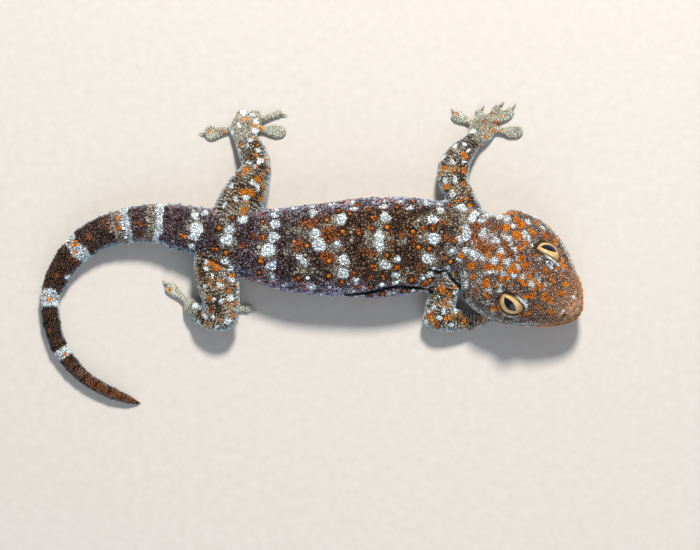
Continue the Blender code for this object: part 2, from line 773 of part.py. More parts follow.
def near_a_leg(point):
    """Whether a point on the trunk is where a leg grows from it."""
    for upper, *_ in LEGS.values():
        for first, last in zip(upper[0:2], upper[1:3]):
            start, end = Vector((first.x, first.y)), Vector((last.x, last.y))
            along = end - start
            share = min(max((point.xy - start).dot(along) / along.length_squared, 0.0), 1.0)
            if (point.xy - start - along * share).length < first.half_width + LEG_CLEARANCE:
                return True
    return False


def tubercles(name, start, end, draw):
    """The tubercles of one length of the body, set square on its surface."""
    rows = table(BODY)
    trunk = name == "torso"
    step = TRUNK_ROW_STEP if trunk else TAIL_WHORL_STEP
    angles = TRUNK_ROW_ANGLES if trunk else TAIL_WHORL_ANGLES
    radius = TRUNK_TUBERCLE_RADIUS if trunk else TAIL_TUBERCLE_RADIUS
    height = TRUNK_TUBERCLE_HEIGHT if trunk else TAIL_TUBERCLE_HEIGHT
    made = []
    for number, place in enumerate(places_between(rows, start, end, step)[1:-1]):
        row = through(rows, place)
        heading = body_heading(rows, place, name)
        along = Vector((math.cos(heading), math.sin(heading), 0.0))
        size = min(1.0, row[2] / TUBERCLE_FULL_HALF_WIDTH)
        shown = angles
        if trunk and number % 2:
            shown = [(low + high) / 2 for low, high in zip(angles, angles[1:])]
        for angle in shown:
            turn = math.radians(angle + draw.uniform(-TUBERCLE_JITTER, TUBERCLE_JITTER))
            point = section_point(row, heading, turn)
            if trunk and near_a_leg(point):
                continue
            beyond = section_point(row, heading, turn + math.radians(TUBERCLE_JITTER))
            scale = size * (1.0 + draw.uniform(-TUBERCLE_SPREAD, TUBERCLE_SPREAD))
            outward = along.cross(beyond - point).normalized()
            made.append(tubercle(point, outward, radius * scale, height * scale))
    return made


def build_body():
    """The lengths of tail, the trunk and the neck, with their tubercles."""
    draw = random.Random(TUBERCLE_SEED)
    made, start = [], 0.0
    for name, end in LENGTHS:
        length = body_length(name, start, end)
        if name != "neck":
            combine(length, tubercles(name, start, end, draw), "UNION")
        made.append(length)
        start = end
    return made


def skin_of(name):
    """The finish for a node, by its own name or by what its name begins with."""
    key = name if name in SKIN else name.split("_")[0]
    if key == "eye":
        return EYE_COLOUR
    return SKIN[key]


def finish(nodes):
    """Puts the nodes in their collection, under an empty that centres them on the origin."""
    collection = new_collection(NAME)
    corners = [v.co for obj in nodes for v in obj.data.vertices]
    low = [min(c[i] for c in corners) for i in range(2)]
    high = [max(c[i] for c in corners) for i in range(2)]
    centre = bpy.data.objects.new(NAME + "_centre", None)
    centre.location = (-(low[0] + high[0]) / 2, -(low[1] + high[1]) / 2, 0.0)
    collection.objects.link(centre)
    for obj in nodes:
        for holder in list(obj.users_collection):
            holder.objects.unlink(obj)
        collection.objects.link(obj)
        obj.parent = centre
        obj.data.materials.clear()
        obj.data.materials.append(material(obj.name, *skin_of(obj.name)))
        obj.data.shade_smooth()
        obj.data.set_sharp_from_angle(angle=math.radians(SMOOTH_ANGLE))


def main():
    """Builds the animal."""
    clear_scene()
    head, eyes = build_head()
    nodes = build_body() + [head, *eyes]
    nodes += [build_leg(name) for name in LEGS]
    nodes += [build_foot(name) for name in PALMS]
    finish(nodes)


main()
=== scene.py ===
"""Tokay gecko, still and at life size: the skin, scales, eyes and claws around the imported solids.

Tables are in millimetres on the animal's plan, where the line between the eyes has its middle at
HEAD_MIDDLE, or in the photograph's 700 x 550 pixels where a comment says so. Meshes are in metres.
"""

import json
import logging
import math
import random
import sys
from collections.abc import Iterable, Iterator, Sequence
from contextlib import contextmanager
from dataclasses import dataclass, field, replace
from enum import Enum, IntEnum

import bmesh
import bpy
import numpy as np
from bpy.types import Material, Mesh, Node, NodeSocket, NodeTree, Object
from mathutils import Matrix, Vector, noise
from mathutils.bvhtree import BVHTree
from mathutils.kdtree import KDTree
from numpy import ndarray

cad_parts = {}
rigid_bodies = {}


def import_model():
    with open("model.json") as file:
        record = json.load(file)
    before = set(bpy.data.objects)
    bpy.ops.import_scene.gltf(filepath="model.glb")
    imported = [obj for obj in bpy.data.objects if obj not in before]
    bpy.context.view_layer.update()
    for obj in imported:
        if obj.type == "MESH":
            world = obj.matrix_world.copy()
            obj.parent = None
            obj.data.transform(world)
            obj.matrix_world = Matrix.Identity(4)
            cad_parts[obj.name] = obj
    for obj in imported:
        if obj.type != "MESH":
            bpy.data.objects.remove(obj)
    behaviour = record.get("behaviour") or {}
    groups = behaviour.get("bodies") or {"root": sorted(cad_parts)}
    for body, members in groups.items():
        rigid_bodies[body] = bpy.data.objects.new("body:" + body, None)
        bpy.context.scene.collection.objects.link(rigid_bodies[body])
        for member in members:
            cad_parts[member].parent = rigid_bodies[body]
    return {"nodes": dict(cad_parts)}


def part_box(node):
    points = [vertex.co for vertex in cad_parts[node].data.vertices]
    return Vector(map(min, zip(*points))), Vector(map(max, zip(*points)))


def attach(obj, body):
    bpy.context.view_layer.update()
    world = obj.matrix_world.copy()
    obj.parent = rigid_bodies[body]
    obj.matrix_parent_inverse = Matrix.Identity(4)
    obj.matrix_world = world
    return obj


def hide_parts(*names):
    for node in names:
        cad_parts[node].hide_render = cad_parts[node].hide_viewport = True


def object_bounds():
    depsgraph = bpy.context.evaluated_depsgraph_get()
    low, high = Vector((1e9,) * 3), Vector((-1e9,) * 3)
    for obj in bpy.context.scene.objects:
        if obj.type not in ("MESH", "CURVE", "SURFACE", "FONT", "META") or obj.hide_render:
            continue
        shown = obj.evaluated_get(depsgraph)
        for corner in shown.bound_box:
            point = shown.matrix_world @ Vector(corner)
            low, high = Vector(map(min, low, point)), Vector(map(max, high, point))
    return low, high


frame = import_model()
CAD_BOX = [list(corner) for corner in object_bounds()]

MM = 0.001
LOG = logging.getLogger("gecko")
BODY = "root"
# The map of each piece's own unwrap, which carries its finish
UNWRAP = "OFBake"

# Head, as in the solids: millimetres and degrees from +X
HEAD_MIDDLE = (66.9, -2.7)
HEAD_HEADING = -34.7
EYE_RADIUS = 5.6
# Each eye's centre, left as 1 and right as -1: how far ahead, to the left, and how high
EYE_CENTRES = {1: (0.3, 9.2, 18.2), -1: (-0.3, -10.6, 17.5)}
EYE_TILT = 55.0
MOUTH_HEIGHT_BACK = 10.8
MOUTH_HEIGHT_FRONT = 9.6
MOUTH_CORNER_AHEAD = -11.0
SNOUT_AHEAD = 23.3

# The middle line of tail, trunk and neck: x, y, half width, height of the back
SPINE = (
    (-79.6, -48.8, 0.5, 1.5), (-82.5, -47.7, 1.7, 3), (-87.4, -46, 2.3, 4), (-94.6, -42.6, 2.7, 4.8),
    (-102.2, -37.3, 2.9, 5.3), (-110.4, -26.4, 3.3, 6), (-113.6, -11.7, 3.7, 7), (-111.8, -3.6, 4.4, 8),
    (-106.6, 5.7, 5.2, 9.3), (-98.4, 13.2, 6, 10.5), (-88.6, 17.4, 6.5, 11.4), (-75.8, 19.2, 7.3, 12.6),
    (-66, 17.8, 8.5, 13.8), (-56.6, 15.6, 9.6, 15.2), (-47.2, 12.8, 10.8, 16.8), (-37.7, 10.6, 13.2, 18.2),
    (-28.3, 9.4, 15.3, 19.6), (-18.9, 8.6, 16.9, 20.6), (-7.5, 8.8, 17.9, 21.2), (3.8, 9.3, 19, 21.2),
    (13.2, 9.6, 19.3, 20.8), (22.6, 10.3, 18.5, 20.4), (31.4, 11.4, 16.9, 20.2), (38, 13, 13.9, 19.6),
    (46.3, 11, 13.6, 20), (52, 7.5, 16, 21),
)
# The middle lines of the legs, from the body to the wrist or ankle
LEG_LINES = {
    "leg_fore_left": (
        (43.4, 17.0), (44.4, 22.5), (42.2, 28.0), (39.4, 33.4), (38.9, 38.6), (41.6, 45.0), (47.0, 51.0),
    ),
    "leg_hind_left": (
        (-46.2, 13.5), (-43.6, 21.9), (-39.1, 31.0), (-35.4, 39.6), (-37.2, 46.4), (-39.8, 51.4),
    ),
    "leg_fore_right": ((35.2, 7.0), (35.4, -5.8), (33.0, -17.0), (38.6, -17.6), (49.2, -17.2)),
    "leg_hind_right": ((-48.8, 12.0), (-50.0, -2.0), (-48.0, -18.0), (-53.0, -16.8), (-57.2, -14.4)),
}
# Where the toes leave each palm
PALMS = {
    "foot_fore_left": (51.2, 56.6),
    "foot_hind_left": (-39.9, 57),
    "foot_fore_right": (54.6, -12.8),
    "foot_hind_right": (-57.4, -13.8),
}
# Each toe: the middle of its pad, its tip, and whether it bears a claw
TOES = {
    "foot_fore_left": (
        ((41.1, 60.7), (38.5, 64.3), True), ((49.2, 62), (51.6, 65.4), True),
        ((55.9, 63.4), (59.3, 66.8), True), ((60, 61), (63.6, 66), True),
        ((61.9, 54.4), (66.1, 55.5), False),
    ),
    "foot_hind_left": (
        ((-52.3, 54.4), (-58.1, 54.2), True), ((-41, 61.2), (-41.3, 63.6), False),
        ((-36.2, 61.4), (-35.8, 63.4), False), ((-27.4, 62), (-23.6, 61.2), True),
        ((-28.6, 54.9), (-24.3, 55), False),
    ),
    "foot_fore_right": (
        ((64.6, -14.4), (68.6, -15), True), ((64.4, -8.4), (68.4, -6.6), True),
        ((59.6, -3.8), (61.8, -0.2), True), ((52.8, -4.2), (52.2, -0.4), True),
        ((47.2, -9), (44.8, -7.4), False),
    ),
    "foot_hind_right": (
        ((-67.4, -5.9), (-71.4, -1.9), True), ((-55.6, -18.4), (-55.4, -20.4), False),
        ((-50, -18.2), (-48.6, -20.4), False), ((-44.6, -16.2), (-42, -18.4), True),
        ((-39, -12.9), (-35.2, -13.7), True),
    ),
}
CLAW_LENGTH = 2.4


def plan_shift() -> ndarray:
    """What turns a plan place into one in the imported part's frame, read from the left eye."""
    low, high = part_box("eye_left")
    return np.array((low + high) / 2) / MM - HeadPlace().eye_centre(1)


@dataclass(frozen=True)
class HeadPlace:
    """The head's own directions: ahead to the snout, side to the animal's left, and up."""

    middle: tuple[float, float] = HEAD_MIDDLE
    heading: float = HEAD_HEADING

    @property
    def ahead(self) -> ndarray:
        """The direction from between the eyes to the snout."""
        turn = math.radians(self.heading)
        return np.array((math.cos(turn), math.sin(turn), 0.0))

    @property
    def left(self) -> ndarray:
        """The direction to the animal's left."""
        turn = math.radians(self.heading)
        return np.array((-math.sin(turn), math.cos(turn), 0.0))

    def place(self, ahead: float, side: float, height: float) -> ndarray:
        """The plan place of a place given in the head's own directions."""
        start = np.array((*self.middle, height))
        return start + self.ahead * ahead + self.left * side

    def measure(self, points: ndarray) -> tuple[ndarray, ndarray, ndarray]:
        """How far plan points lie ahead, to the left and up."""
        off = points - np.array((*self.middle, 0.0))
        return off @ self.ahead, off @ self.left, points[:, 2]

    def eye_centre(self, side: int) -> ndarray:
        """The centre of an eyeball on the plan, with side 1 on the left and -1 on the right."""
        return self.place(*EYE_CENTRES[side])

    def gaze(self, side: int) -> ndarray:
        """The way an eye looks out."""
        tilt = math.radians(EYE_TILT)
        return self.left * side * math.cos(tilt) + np.array((0.0, 0.0, math.sin(tilt)))

    def mouth_height(self, ahead: ndarray) -> ndarray:
        """How high the line of the mouth lies."""
        share = np.clip((ahead - MOUTH_CORNER_AHEAD) / (SNOUT_AHEAD - MOUTH_CORNER_AHEAD), 0.0, 1.0)
        return MOUTH_HEIGHT_BACK + share * (MOUTH_HEIGHT_FRONT - MOUTH_HEIGHT_BACK)


SHIFT = plan_shift()
HEAD = HeadPlace()
# The solids' box on the plan, which nothing of the animal leaves
LOW, HIGH = (np.array(corner) / MM - SHIFT for corner in CAD_BOX)


@dataclass(frozen=True)
class PhotoView:
    """The photograph's viewpoint, which looks down on the plan from a little below the middle."""

    distance: float = 900.0
    tilt: float = 6.0
    pixel: float = 0.38
    width: int = 700
    height: int = 550
    sensor: float = 36.0

    def eye(self) -> ndarray:
        """The camera's place on the plan."""
        turn = math.radians(self.tilt)
        return np.array((0.0, -math.sin(turn), math.cos(turn))) * self.distance

    def ray(self, x: float, y: float) -> ndarray:
        """The direction in which the camera sees a pixel of the photograph.

        Args:
            x: The pixel's column.
            y: Its row, from the top.

        Returns:
            A unit vector on the plan.
        """
        turn = math.radians(self.tilt)
        across, down = (x - self.width / 2) * self.pixel, (self.height / 2 - y) * self.pixel
        ahead = np.array((0.0, math.sin(turn), -math.cos(turn))) * self.distance
        up = np.array((0.0, math.cos(turn), math.sin(turn)))
        return unit(ahead + up * down + np.array((across, 0.0, 0.0)))

    def build(self) -> None:
        """Makes the scene's camera."""
        turn = (math.radians(self.tilt), 0.0, 0.0)
        bpy.ops.object.camera_add(location=(self.eye() + SHIFT) * MM, rotation=turn)
        camera = bpy.context.object
        camera.name = "camera"
        camera.data.sensor_width = self.sensor
        camera.data.lens = self.distance / (self.pixel * self.width) * self.sensor
        camera.data.clip_start = 0.05
        bpy.context.scene.camera = camera


VIEW = PhotoView()


def smooth_step(low: float, high: float, value: ndarray) -> ndarray:
    """A soft step from 0 at low to 1 at high."""
    share = np.clip((value - low) / (high - low), 0.0, 1.0)
    return share * share * (3.0 - 2.0 * share)


def linear(red: int, green: int, blue: int) -> ndarray:
    """A screen colour of 0 to 255 as the linear colour that a shader takes."""
    share = np.array((red, green, blue), float) / 255.0
    return np.where(share <= 0.04045, share / 12.92, ((share + 0.055) / 1.055) ** 2.4)


def rgba(tone: tuple[int, int, int]) -> tuple[float, ...]:
    """A screen colour as a shader's socket takes it."""
    return (*linear(*tone), 1.0)


def ripple(points: ndarray, size: float, seed: float = 0.0) -> ndarray:
    """Soft random values between about -1 and 1, which change over the given size in millimetres."""
    scale = 1.0 / size
    return np.array([noise.noise((x * scale + seed, y * scale - seed, z * scale)) for x, y, z in points])


def mix(base: ndarray, over: ndarray, share: ndarray | float) -> ndarray:
    """Lays one colour over another, by a share for each row."""
    return base + (over - base) * np.clip(share, 0.0, 1.0)[..., None]


def unit(rows: ndarray) -> ndarray:
    """Directions drawn out or in to a length of one."""
    return rows / (np.linalg.norm(rows, axis=-1, keepdims=True) + 1e-9)


def spin(first: ndarray, second: ndarray, turn: float) -> tuple[ndarray, ndarray]:
    """Two square directions, or rows of two measures, turned in their own plane from first to second."""
    high, deep = math.cos(turn), math.sin(turn)
    return first * high + second * deep, second * high - first * deep


def laid(ways: ndarray, normals: ndarray) -> ndarray:
    """Directions laid flat on the skin, and never quite nothing."""
    return unit(ways - normals * (ways * normals).sum(axis=1)[:, None] + 1e-6)


def search_tree(points: ndarray) -> KDTree:
    """A tree that finds the nearest of many points.

    Args:
        points: The points.

    Returns:
        The tree, ready to search.
    """
    tree = KDTree(len(points))
    for number, point in enumerate(points.tolist()):
        tree.insert(point, number)
    tree.balance()
    return tree


def pick(*objects: Object) -> None:
    """Makes these objects, or none, the only ones that an operator acts on, with the first active.

    Args:
        objects: The objects.
    """
    for obj in bpy.context.selected_objects:
        obj.select_set(False)
    for obj in reversed(objects):
        obj.select_set(True)
        bpy.context.view_layer.objects.active = obj


def join(objects: Sequence[Object], name: str) -> Object:
    """Joins objects in one piece of the given name.

    Args:
        objects: The objects.
        name: The piece's name.

    Returns:
        The piece.
    """
    pick(*objects)
    bpy.ops.object.join()
    piece = bpy.context.object
    piece.name = piece.data.name = name
    return piece


def apply_all(obj: Object) -> None:
    """Applies an object's modifiers in order."""
    pick(obj)
    for modifier in list(obj.modifiers):
        bpy.ops.object.modifier_apply(modifier=modifier.name)


@contextmanager
def editing(obj: Object) -> Iterator[None]:
    """Opens an object to the edit operators, with all of it selected, and closes it again.

    Args:
        obj: The object.

    Yields:
        Nothing, while the object is open.
    """
    pick(obj)
    bpy.ops.object.mode_set(mode="EDIT")
    bpy.ops.mesh.select_all(action="SELECT")
    yield
    bpy.ops.object.mode_set(mode="OBJECT")


def unwrap(obj: Object, margin: float) -> None:
    """Lays a piece's own shape out flat, for the map that carries its finish.

    Args:
        obj: The piece.
        margin: The room between its islands, as a share of the map.
    """
    with editing(obj):
        bpy.ops.uv.smart_project(angle_limit=math.radians(66), island_margin=margin)
    obj.data.uv_layers.active.name = UNWRAP


def draw_up(sides: int, rings: Sequence[tuple[float, float]]) -> Object:
    """Models a closed form from a circle that is drawn up ring by ring to a point.

    Args:
        sides: How many sides the circle has.
        rings: Each ring's radius and height from the lowest up, and at last the point's.

    Returns:
        The form, upright on the origin.
    """
    pick()
    (radius, height), *above = rings
    bpy.ops.mesh.primitive_circle_add(vertices=sides, radius=radius, fill_type="NGON")
    obj = bpy.context.object
    with editing(obj):
        bpy.ops.transform.translate(value=(0.0, 0.0, height))
        for wide, high in above:
            bpy.ops.mesh.extrude_region_move(TRANSFORM_OT_translate={"value": (0.0, 0.0, high - height)})
            if wide:
                bpy.ops.transform.resize(value=(wide / radius, wide / radius, 1.0))
                radius, height = wide, high
            else:
                bpy.ops.mesh.merge(type="CENTER")
        bpy.ops.mesh.select_all(action="SELECT")
        bpy.ops.mesh.normals_make_consistent(inside=False)
    return obj


def read(items: Sequence, name: str, width: int = 3) -> ndarray:
    """A property of all the items of a mesh, with one row for each."""
    flat = np.empty(len(items) * width, np.float32)
    items.foreach_get(name, flat)
    return flat.reshape(-1, width).astype(float)


def points_of(mesh: Mesh) -> ndarray:
    """A mesh's vertices as plan places in millimetres."""
    return read(mesh.vertices, "co") / MM - SHIFT


def set_points(mesh: Mesh, points: ndarray) -> None:
    """Moves a mesh's vertices to plan places in millimetres."""
    mesh.vertices.foreach_set("co", ((points + SHIFT) * MM).ravel())
    mesh.update()


def normals_of(mesh: Mesh) -> ndarray:
    """A mesh's outward directions at its vertices."""
    return read(mesh.vertex_normals, "vector")


def paint(mesh: Mesh, colours: ndarray) -> None:
    """Writes a linear colour for each vertex in the attribute tone.

    Args:
        mesh: The mesh.
        colours: One colour for each vertex.
    """
    layer = mesh.color_attributes.new("tone", "FLOAT_COLOR", "POINT")
    rows = np.ones((len(mesh.vertices), 4), np.float32)
    rows[:, :3] = np.clip(colours, 0.0, 1.0)
    layer.data.foreach_set("color", rows.ravel())


def place_piece(obj: Object, nodes: Sequence[str] = ()) -> None:
    """Sets a finished piece on its body and the solids it stands for.

    Args:
        obj: The piece.
        nodes: The solids, if any.
    """
    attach(obj, BODY)
    if nodes:
        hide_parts(*nodes)
    LOG.info("%s: %d faces", obj.name, len(obj.data.polygons))


class MiddleLine:
    """A smooth line through plan places, cut into short steps, that tells where a point lies along it."""

    def __init__(self, rows: Sequence[Sequence[float]], step: float = 0.8) -> None:
        """Cuts the line.

        Args:
            rows: The line's places, with x and y first.
            step: How long each short step is.
        """
        table = np.array([row[:4] for row in rows], float)
        fine = np.linspace(0, len(table) - 1, 60 * (len(table) - 1) + 1)
        dense = np.array([self.through(table, place) for place in fine])
        run = np.concatenate([[0.0], np.cumsum(np.linalg.norm(np.diff(dense[:, :2], axis=0), axis=1))])
        count = max(2, round(run[-1] / step) + 1)
        self.run = np.linspace(0.0, run[-1], count)
        self.rows = np.column_stack([np.interp(self.run, run, dense[:, i]) for i in range(dense.shape[1])])
        self.along = unit(np.gradient(self.rows[:, :2], axis=0))

    @staticmethod
    def through(table: ndarray, place: float) -> ndarray:
        """The row at a fractional place on a smooth curve through all rows.

        Args:
            table: The line's rows.
            place: The number of a row, and the share of the way to the next.

        Returns:
            The row there.
        """
        last = len(table) - 1
        first = min(int(place), last - 1)
        part = place - first
        before = table[first - 1] if first > 0 else 2 * table[0] - table[1]
        after = table[first + 2] if first + 2 <= last else 2 * table[last] - table[last - 1]
        start, end = table[first], table[first + 1]
        leaving, arriving = (end - before) / 2, (after - start) / 2
        return (
            (2 * part**3 - 3 * part**2 + 1) * start
            + (part**3 - 2 * part**2 + part) * leaving
            + (3 * part**2 - 2 * part**3) * end
            + (part**3 - part**2) * arriving
        )

    def at(self, place: float) -> tuple[ndarray, ndarray]:
        """The line's row at a distance along it, and the direction to its left there."""
        row = np.array([np.interp(place, self.run, column) for column in self.rows.T])
        way = self.along[min(int(place / self.run[1]), len(self.run) - 1)]
        return row, np.array((-way[1], way[0], 0.0))

    def nearest(self, points: ndarray) -> tuple[ndarray, ndarray, ndarray]:
        """Finds each point's place on the line.

        Args:
            points: Plan places.

        Returns:
            The number of the nearest step, how far along the line it is, and how far to the left
            of the line the point lies.
        """
        found = np.empty(len(points), int)
        for start in range(0, len(points), 20000):
            part = points[start : start + 20000, None, :2] - self.rows[None, :, :2]
            found[start : start + 20000] = (part**2).sum(axis=2).argmin(axis=1)
        off = points[:, :2] - self.rows[found, :2]
        direction = self.along[found]
        side = direction[:, 0] * off[:, 1] - direction[:, 1] * off[:, 0]
        ahead = (direction * off).sum(axis=1)
        return found, self.run[found] + ahead, side


class Region(IntEnum):
    """The parts of the skin that differ in form and scaling."""

    HEAD = 0
    NECK = 1
    TRUNK = 2
    TAIL = 3
    LEG = 4
    FOOT = 5

    @classmethod
    def of_node(cls, node: str) -> "Region":
        """The region that a solid belongs to."""
        word = {"torso": "TRUNK"}.get(node, node.split("_")[0].upper())
        return cls[word]


SPINE_LINE = MiddleLine(SPINE)


@dataclass(frozen=True)
class EyePlace:
    """The opening between the lids of one eye, measured by angles at the eyeball's centre."""

    side: int
    rise: float = 0.0
    back: float = 0.0
    half_length: float = 76.0
    half_height: float = 40.0
    bluntness: float = 1.6

    @property
    def name(self) -> str:
        """The side of the head that the eye is on."""
        return "left" if self.side > 0 else "right"

    @property
    def centre(self) -> ndarray:
        """The eyeball's centre on the plan."""
        return HEAD.eye_centre(self.side)

    @property
    def axes(self) -> tuple[ndarray, ndarray, ndarray]:
        """The directions along the opening, across it towards the crown, and out of it.

        Returns:
            Three unit vectors on the plan.
        """
        along, out = HEAD.ahead, HEAD.gaze(self.side)
        across = np.cross(along, out) * self.side
        out, across = spin(out, across, math.radians(self.rise))
        along, out = spin(along, out, math.radians(self.back))
        return along, across, out

    def measure(self, points: ndarray) -> tuple[ndarray, ndarray]:
        """Places points about the eye.

        Args:
            points: Plan places.

        Returns:
            How far each lies from the centre, and its share of the way out to the lid's edge.
        """
        along, across, out = self.axes
        off = points - self.centre
        far = np.linalg.norm(off, axis=1) + 1e-9
        x, y, z = off @ along, off @ across, off @ out
        turn = np.degrees(np.arccos(np.clip(z / far, -1.0, 1.0)))
        flat = np.hypot(x, y) + 1e-9
        return far, turn * self.reach(x / flat, y / flat)

    def reach(self, x: ndarray | float, y: ndarray | float) -> ndarray | float:
        """One over the angle at which the lid's edge lies, towards a flat unit direction."""
        power = self.bluntness
        sum_of = np.abs(x / self.half_length) ** power + np.abs(y / self.half_height) ** power
        return sum_of ** (1.0 / power)


EYES = {"left": EyePlace(1, -11.0, 7.5, 80.0), "right": EyePlace(-1)}


@dataclass
class Skin:
    """One skin over all the flesh, sculpted and set in by the depth of its scales."""

    voxel: float = 0.45
    swell: float = 0.2
    most_triangles: int = 190000
    # In the order of the regions: how deep the scales stand, and how often the form is softened
    depth: tuple[float, ...] = (0.26, 0.28, 0.3, 0.26, 0.26, 0.1)
    passes: tuple[float, ...] = (12.0, 30.0, 46.0, 34.0, 14.0, 4.0)
    least_height: float = 0.02
    # Round each eye: the rim, how deep the skin goes beneath the ball, and where lid, slope and rim end
    rim_height: float = 0.62
    under_eye: float = 0.45
    lid_shares: tuple[float, float] = (0.96, 1.14)
    slope_shares: tuple[float, float] = (1.25, 2.1)
    socket_reach: tuple[float, float] = (7.2, 9.8)
    # Round each eye, how far and to which share of the lids the skin isn't drawn in
    bare: tuple[float, float] = (7.0, 1.05)
    # The room of a solid's claw, past where it leaves the toe, and how far it is drawn back
    claw_room: tuple[float, float, float] = (4.0, 1.5, 4.0)
    claw_drawn: float = 0.86
    # The notch behind the head: its share of depth, its place and width along, and where it begins and ends
    notch_depth: float = 0.26
    notch_along: tuple[float, float] = (55.3, 3.2)
    notch_across: tuple[float, float] = (14.0, 33.0)
    # The line of the mouth: depth, half width, and the swell, distance and half width of the lips
    groove: tuple[float, float] = (0.55, 0.4)
    lips: tuple[float, float, float] = (0.16, 1.1, 0.7)
    # Swells behind the eyes, the dip along the snout and the ridges beside it: depth, place and reach
    # ahead, place and reach to the side
    forms: tuple[tuple[float, ...], ...] = (
        (0.5, -11.0, 5.0, 11.0, 4.5), (-0.45, 13.0, 3.6, 0.0, 2.6), (0.3, 11.0, 4.5, 5.6, 1.6)
    )
    nodes: list[str] = field(default_factory=list)

    def __post_init__(self) -> None:
        """Lists the solids of flesh."""
        self.nodes = sorted(name for name in frame["nodes"] if not name.startswith("eye"))

    def gather(self) -> Object:
        """Copies the flesh, swells each copy over its gaps and joins all in one closed skin.

        Returns:
            The skin in its rough form.
        """
        copies = []
        for name in (*self.nodes, "eye_left", "eye_right"):
            obj = bpy.data.objects.new("flesh_" + name, frame["nodes"][name].data.copy())
            bpy.context.scene.collection.objects.link(obj)
            shape = bmesh.new()
            shape.from_mesh(obj.data)
            bmesh.ops.remove_doubles(shape, verts=shape.verts, dist=1e-6)
            shape.normal_update()
            for vertex in shape.verts:
                vertex.co += vertex.normal * self.swell * MM
            shape.to_mesh(obj.data)
            shape.free()
            copies.append(obj)
        skin = join(copies, "skin")
        skin.data.materials.clear()
        remesh = skin.modifiers.new("remesh", "REMESH")
        remesh.mode = "VOXEL"
        remesh.voxel_size = self.voxel * MM
        apply_all(skin)
        return skin

    def regions(self, points: ndarray) -> ndarray:
        """The region number of each plan point, from the solid that lies nearest.

        Args:
            points: Plan places.

        Returns:
            One number for each.
        """
        corners, faces, owner = [], [], []
        for name in self.nodes:
            mesh = frame["nodes"][name].data
            mesh.calc_loop_triangles()
            start = len(corners)
            corners += [tuple(point) for point in points_of(mesh)]
            faces += [tuple(start + i for i in triangle.vertices) for triangle in mesh.loop_triangles]
            owner += [Region.of_node(name)] * len(mesh.loop_triangles)
        tree = BVHTree.FromPolygons(corners, faces)
        return np.array([owner[tree.find_nearest(point)[2]] for point in points.tolist()])

    def soften(self, mesh: Mesh, points: ndarray, passes: ndarray) -> ndarray:
        """Smooths away the flat facets, with more passes where the form is broad.

        Args:
            mesh: The skin, for its edges.
            points: Its plan places.
            passes: How many passes each vertex takes.

        Returns:
            The new places.
        """
        ends = np.empty(len(mesh.edges) * 2, int)
        mesh.edges.foreach_get("vertices", ends)
        a, b = ends.reshape(-1, 2).T
        joined = np.bincount(a, minlength=len(points)) + np.bincount(b, minlength=len(points))

        def mean(values: ndarray) -> ndarray:
            """The mean of each vertex's neighbours."""
            total = np.bincount(a, values[b], len(points)) + np.bincount(b, values[a], len(points))
            return total / joined

        spread = passes.astype(float)
        for _ in range(6):
            spread = mean(spread)
        points = points.copy()
        for turn in range(int(spread.max()) + 1):
            share = 0.5 * np.clip(spread - turn, 0.0, 1.0)
            moved = np.column_stack([mean(points[:, i]) for i in range(3)])
            points += share[:, None] * (moved - points)
        return points

    def shape_eyes(self, points: ndarray) -> ndarray:
        """Raises a rim round each eye and sinks the skin beneath the eyeball.

        Args:
            points: The skin's plan places.

        Returns:
            The new places.
        """
        for eye in EYES.values():
            far, share = eye.measure(points)
            rim = EYE_RADIUS + self.rim_height + self.swell
            inner = EYE_RADIUS - self.under_eye
            lid = inner + (rim - inner) * smooth_step(*self.lid_shares, share)
            ground = np.maximum(far, EYE_RADIUS)
            slope = rim + (ground - rim) * smooth_step(*self.slope_shares, share)
            wanted = np.where(share < self.lid_shares[1], lid, slope)
            near = 1.0 - smooth_step(*self.socket_reach, far)
            moved = far + (wanted - far) * near
            points = eye.centre + (points - eye.centre) * (moved / far)[:, None]
        return points

    def trim_claws(self, points: ndarray) -> ndarray:
        """Draws the solids' claws back into the toes, where the horn claws take their place.

        Args:
            points: The skin's plan places.

        Returns:
            The new places.
        """
        points = points.copy()
        long, wide, high = self.claw_room
        for pad, tip, claw in (toe for foot in TOES.values() for toe in foot):
            if claw:
                way = unit(np.subtract(tip, pad))
                off = points[:, :2] - np.array(tip)
                past = off @ way + CLAW_LENGTH
                side = off @ np.array((-way[1], way[0]))
                near = (past > 0.0) & (past < long) & (np.abs(side) < wide) & (points[:, 2] < high)
                points[near, :2] -= np.outer(past[near] * self.claw_drawn, way)
        return points

    def waist(self, points: ndarray) -> ndarray:
        """Draws the left side in between shoulder and head, where the photograph shows a notch.

        Args:
            points: The skin's plan places.

        Returns:
            The new places.
        """
        points = points.copy()
        (at, wide), (start, end) = self.notch_along, self.notch_across
        share = self.notch_depth * np.exp(-(((points[:, 0] - at) / wide) ** 2)) * (points[:, 1] < end)
        points[:, 1] -= share * np.maximum(points[:, 1] - start, 0.0)
        return points

    def shape_head(self, points: ndarray, normals: ndarray, head: ndarray) -> ndarray:
        """Cuts the line of the mouth and swells the lips, the brows and the jaw.

        Args:
            points: The skin's plan places.
            normals: Its outward directions.
            head: One for each vertex of the head, and nought elsewhere.

        Returns:
            The new places.
        """
        ahead, side, height = HEAD.measure(points)
        above = height - HEAD.mouth_height(ahead)
        along = smooth_step(-13.5, -10.5, ahead)
        steep = 1.0 - np.clip(np.abs(normals[:, 2]), 0.0, 1.0) ** 4
        depth, wide = self.groove
        push = -depth * np.exp(-((above / wide) ** 2)) * along * steep
        swell, off, wide = self.lips
        push += swell * np.exp(-(((np.abs(above) - off) / wide) ** 2)) * along * steep
        for depth, front, long, beside, wide in self.forms:
            spread = ((ahead - front) / long) ** 2 + ((np.abs(side) - beside) / wide) ** 2
            push += depth * np.exp(-spread) * (above > 3)
        return points + normals * (push * head)[:, None]

